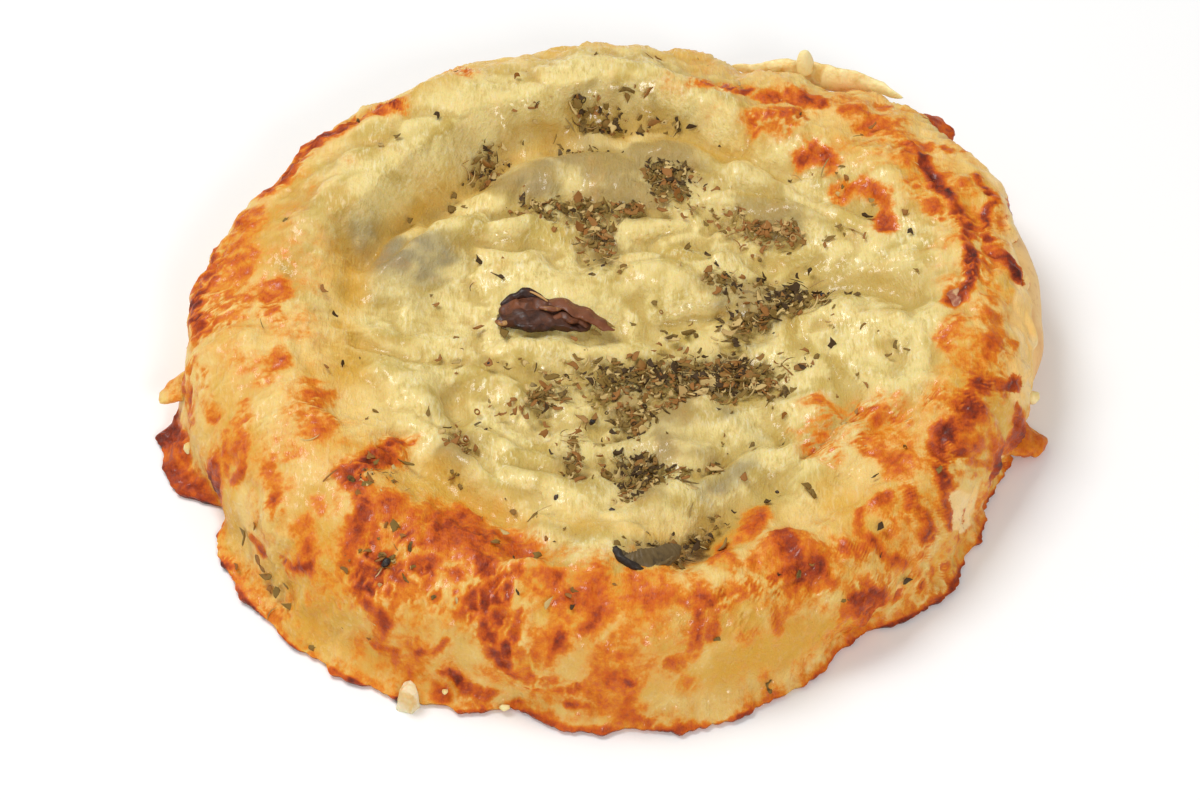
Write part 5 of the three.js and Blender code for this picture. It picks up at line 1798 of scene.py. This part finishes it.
    def material(self, settings):
        material, tree, shader = new_material("dried herb", Roughness=0.62, Specular_IOR_Level=0.2)
        tone, straw = attribute(tree, "tone"), attribute(tree, "straw")
        tone = plus(tree, tone, off_middle(tree, grain(tree, 0.45, 2, 0.6), 0.7))
        colour = laid_over(
            tree, settings.dark_leaf, (tone, 0.1, 0.4, 1.0, settings.leaf),
            (tone, 0.5, 0.85, 1.0, settings.brown_leaf), (straw, 0.55, 0.95, 0.9, settings.straw),
        )
        painted(tree, shader, colour, 0.35, 0.6, 0.6)
        return material


# ---- Stage ----

class PIZZA_OT_stage(bpy.types.Operator):
    """Make the plain floor, the soft studio lights and the camera"""

    bl_idname = "pizza.stage"
    bl_label = "Floor, lights and camera"

    def execute(self, context):
        scene, settings = context.scene, context.scene.pizza_stage
        mesh = bpy.data.meshes.new("floor")
        corners = [(x * FLOOR_HALF, y * FLOOR_HALF, 0) for x, y in ((-1, -1), (1, -1), (1, 1), (-1, 1))]
        mesh.from_pydata(corners, [], [(0, 1, 2, 3)])
        floor = bpy.data.objects.new("floor", mesh)
        scene.collection.objects.link(floor)
        material, tree, shader = new_material("pale floor", Roughness=0.9)
        duller = [c * 0.97 for c in settings.floor]
        colour = laid_over(tree, settings.floor, (grain(tree, 40, 2), 0.3, 0.7, 0.05, duller))
        feed(tree, shader, Base_Color=colour)
        mesh.materials.append(material)
        self.area_light("key", KEY_PLACE, KEY_SIZE, settings.key_power)
        self.area_light("fill", FILL_PLACE, FILL_SIZE, settings.fill_power)
        world = bpy.data.worlds.new("room")
        scene.world = world
        world.use_nodes = True
        background = world.node_tree.nodes["Background"]
        background.inputs["Color"].default_value = ROOM_COLOUR
        background.inputs["Strength"].default_value = settings.room
        scene.view_settings.view_transform = "Standard"
        camera_data = bpy.data.cameras.new("camera")
        camera_data.lens = CAMERA_LENS
        camera_data.sensor_width = CAMERA_SENSOR
        camera_data.clip_start = CAMERA_NEAR
        camera = bpy.data.objects.new("camera", camera_data)
        camera.location = CAMERA_PLACE
        camera.rotation_euler = (math.radians(CAMERA_TILT), 0, 0)
        scene.collection.objects.link(camera)
        scene.camera = camera
        return {"FINISHED"}

    def area_light(self, name, place, size, power):
        """A square light at this place that faces the pizza's middle."""
        data = bpy.data.lights.new(name, "AREA")
        data.size = size
        data.energy = power
        light = bpy.data.objects.new(name, data)
        light.location = place
        light.rotation_euler = (-Vector(place)).to_track_quat("-Z", "Y").to_euler()
        bpy.context.scene.collection.objects.link(light)


OPERATORS = [
    PIZZA_OT_base, PIZZA_OT_cheese, PIZZA_OT_olive, PIZZA_OT_mushroom, PIZZA_OT_ham,
    PIZZA_OT_scraps, PIZZA_OT_herbs, PIZZA_OT_stage,
]


class PIZZA_PT_panel(bpy.types.Panel):
    """Lists the pizza's pieces and their settings"""

    bl_idname = "PIZZA_PT_panel"
    bl_label = "Mini Pizza"
    bl_space_type = "VIEW_3D"
    bl_region_type = "UI"
    bl_category = "Mini Pizza"

    def draw(self, context):
        for operator in OPERATORS:
            self.layout.operator(operator.bl_idname)
        for key, group in SETTINGS.items():
            box = self.layout.box()
            for setting in group.__annotations__:
                box.prop(getattr(context.scene, key), setting)


def register():
    for key, group in SETTINGS.items():
        bpy.utils.register_class(group)
        setattr(bpy.types.Scene, key, bpy.props.PointerProperty(type=group))
    for operator in [*OPERATORS, PIZZA_PT_panel]:
        bpy.utils.register_class(operator)


def unregister():
    for operator in reversed([*OPERATORS, PIZZA_PT_panel]):
        bpy.utils.unregister_class(operator)
    for key, group in SETTINGS.items():
        delattr(bpy.types.Scene, key)
        bpy.utils.unregister_class(group)


def main():
    register()
    bpy.ops.pizza.base()
    bpy.ops.pizza.cheese()
    bpy.ops.pizza.olive()
    bpy.ops.pizza.mushroom()
    bpy.ops.pizza.ham()
    bpy.ops.pizza.scraps()
    bpy.ops.pizza.herbs()
    bpy.ops.pizza.stage()


if __name__ == "__main__":
    main()
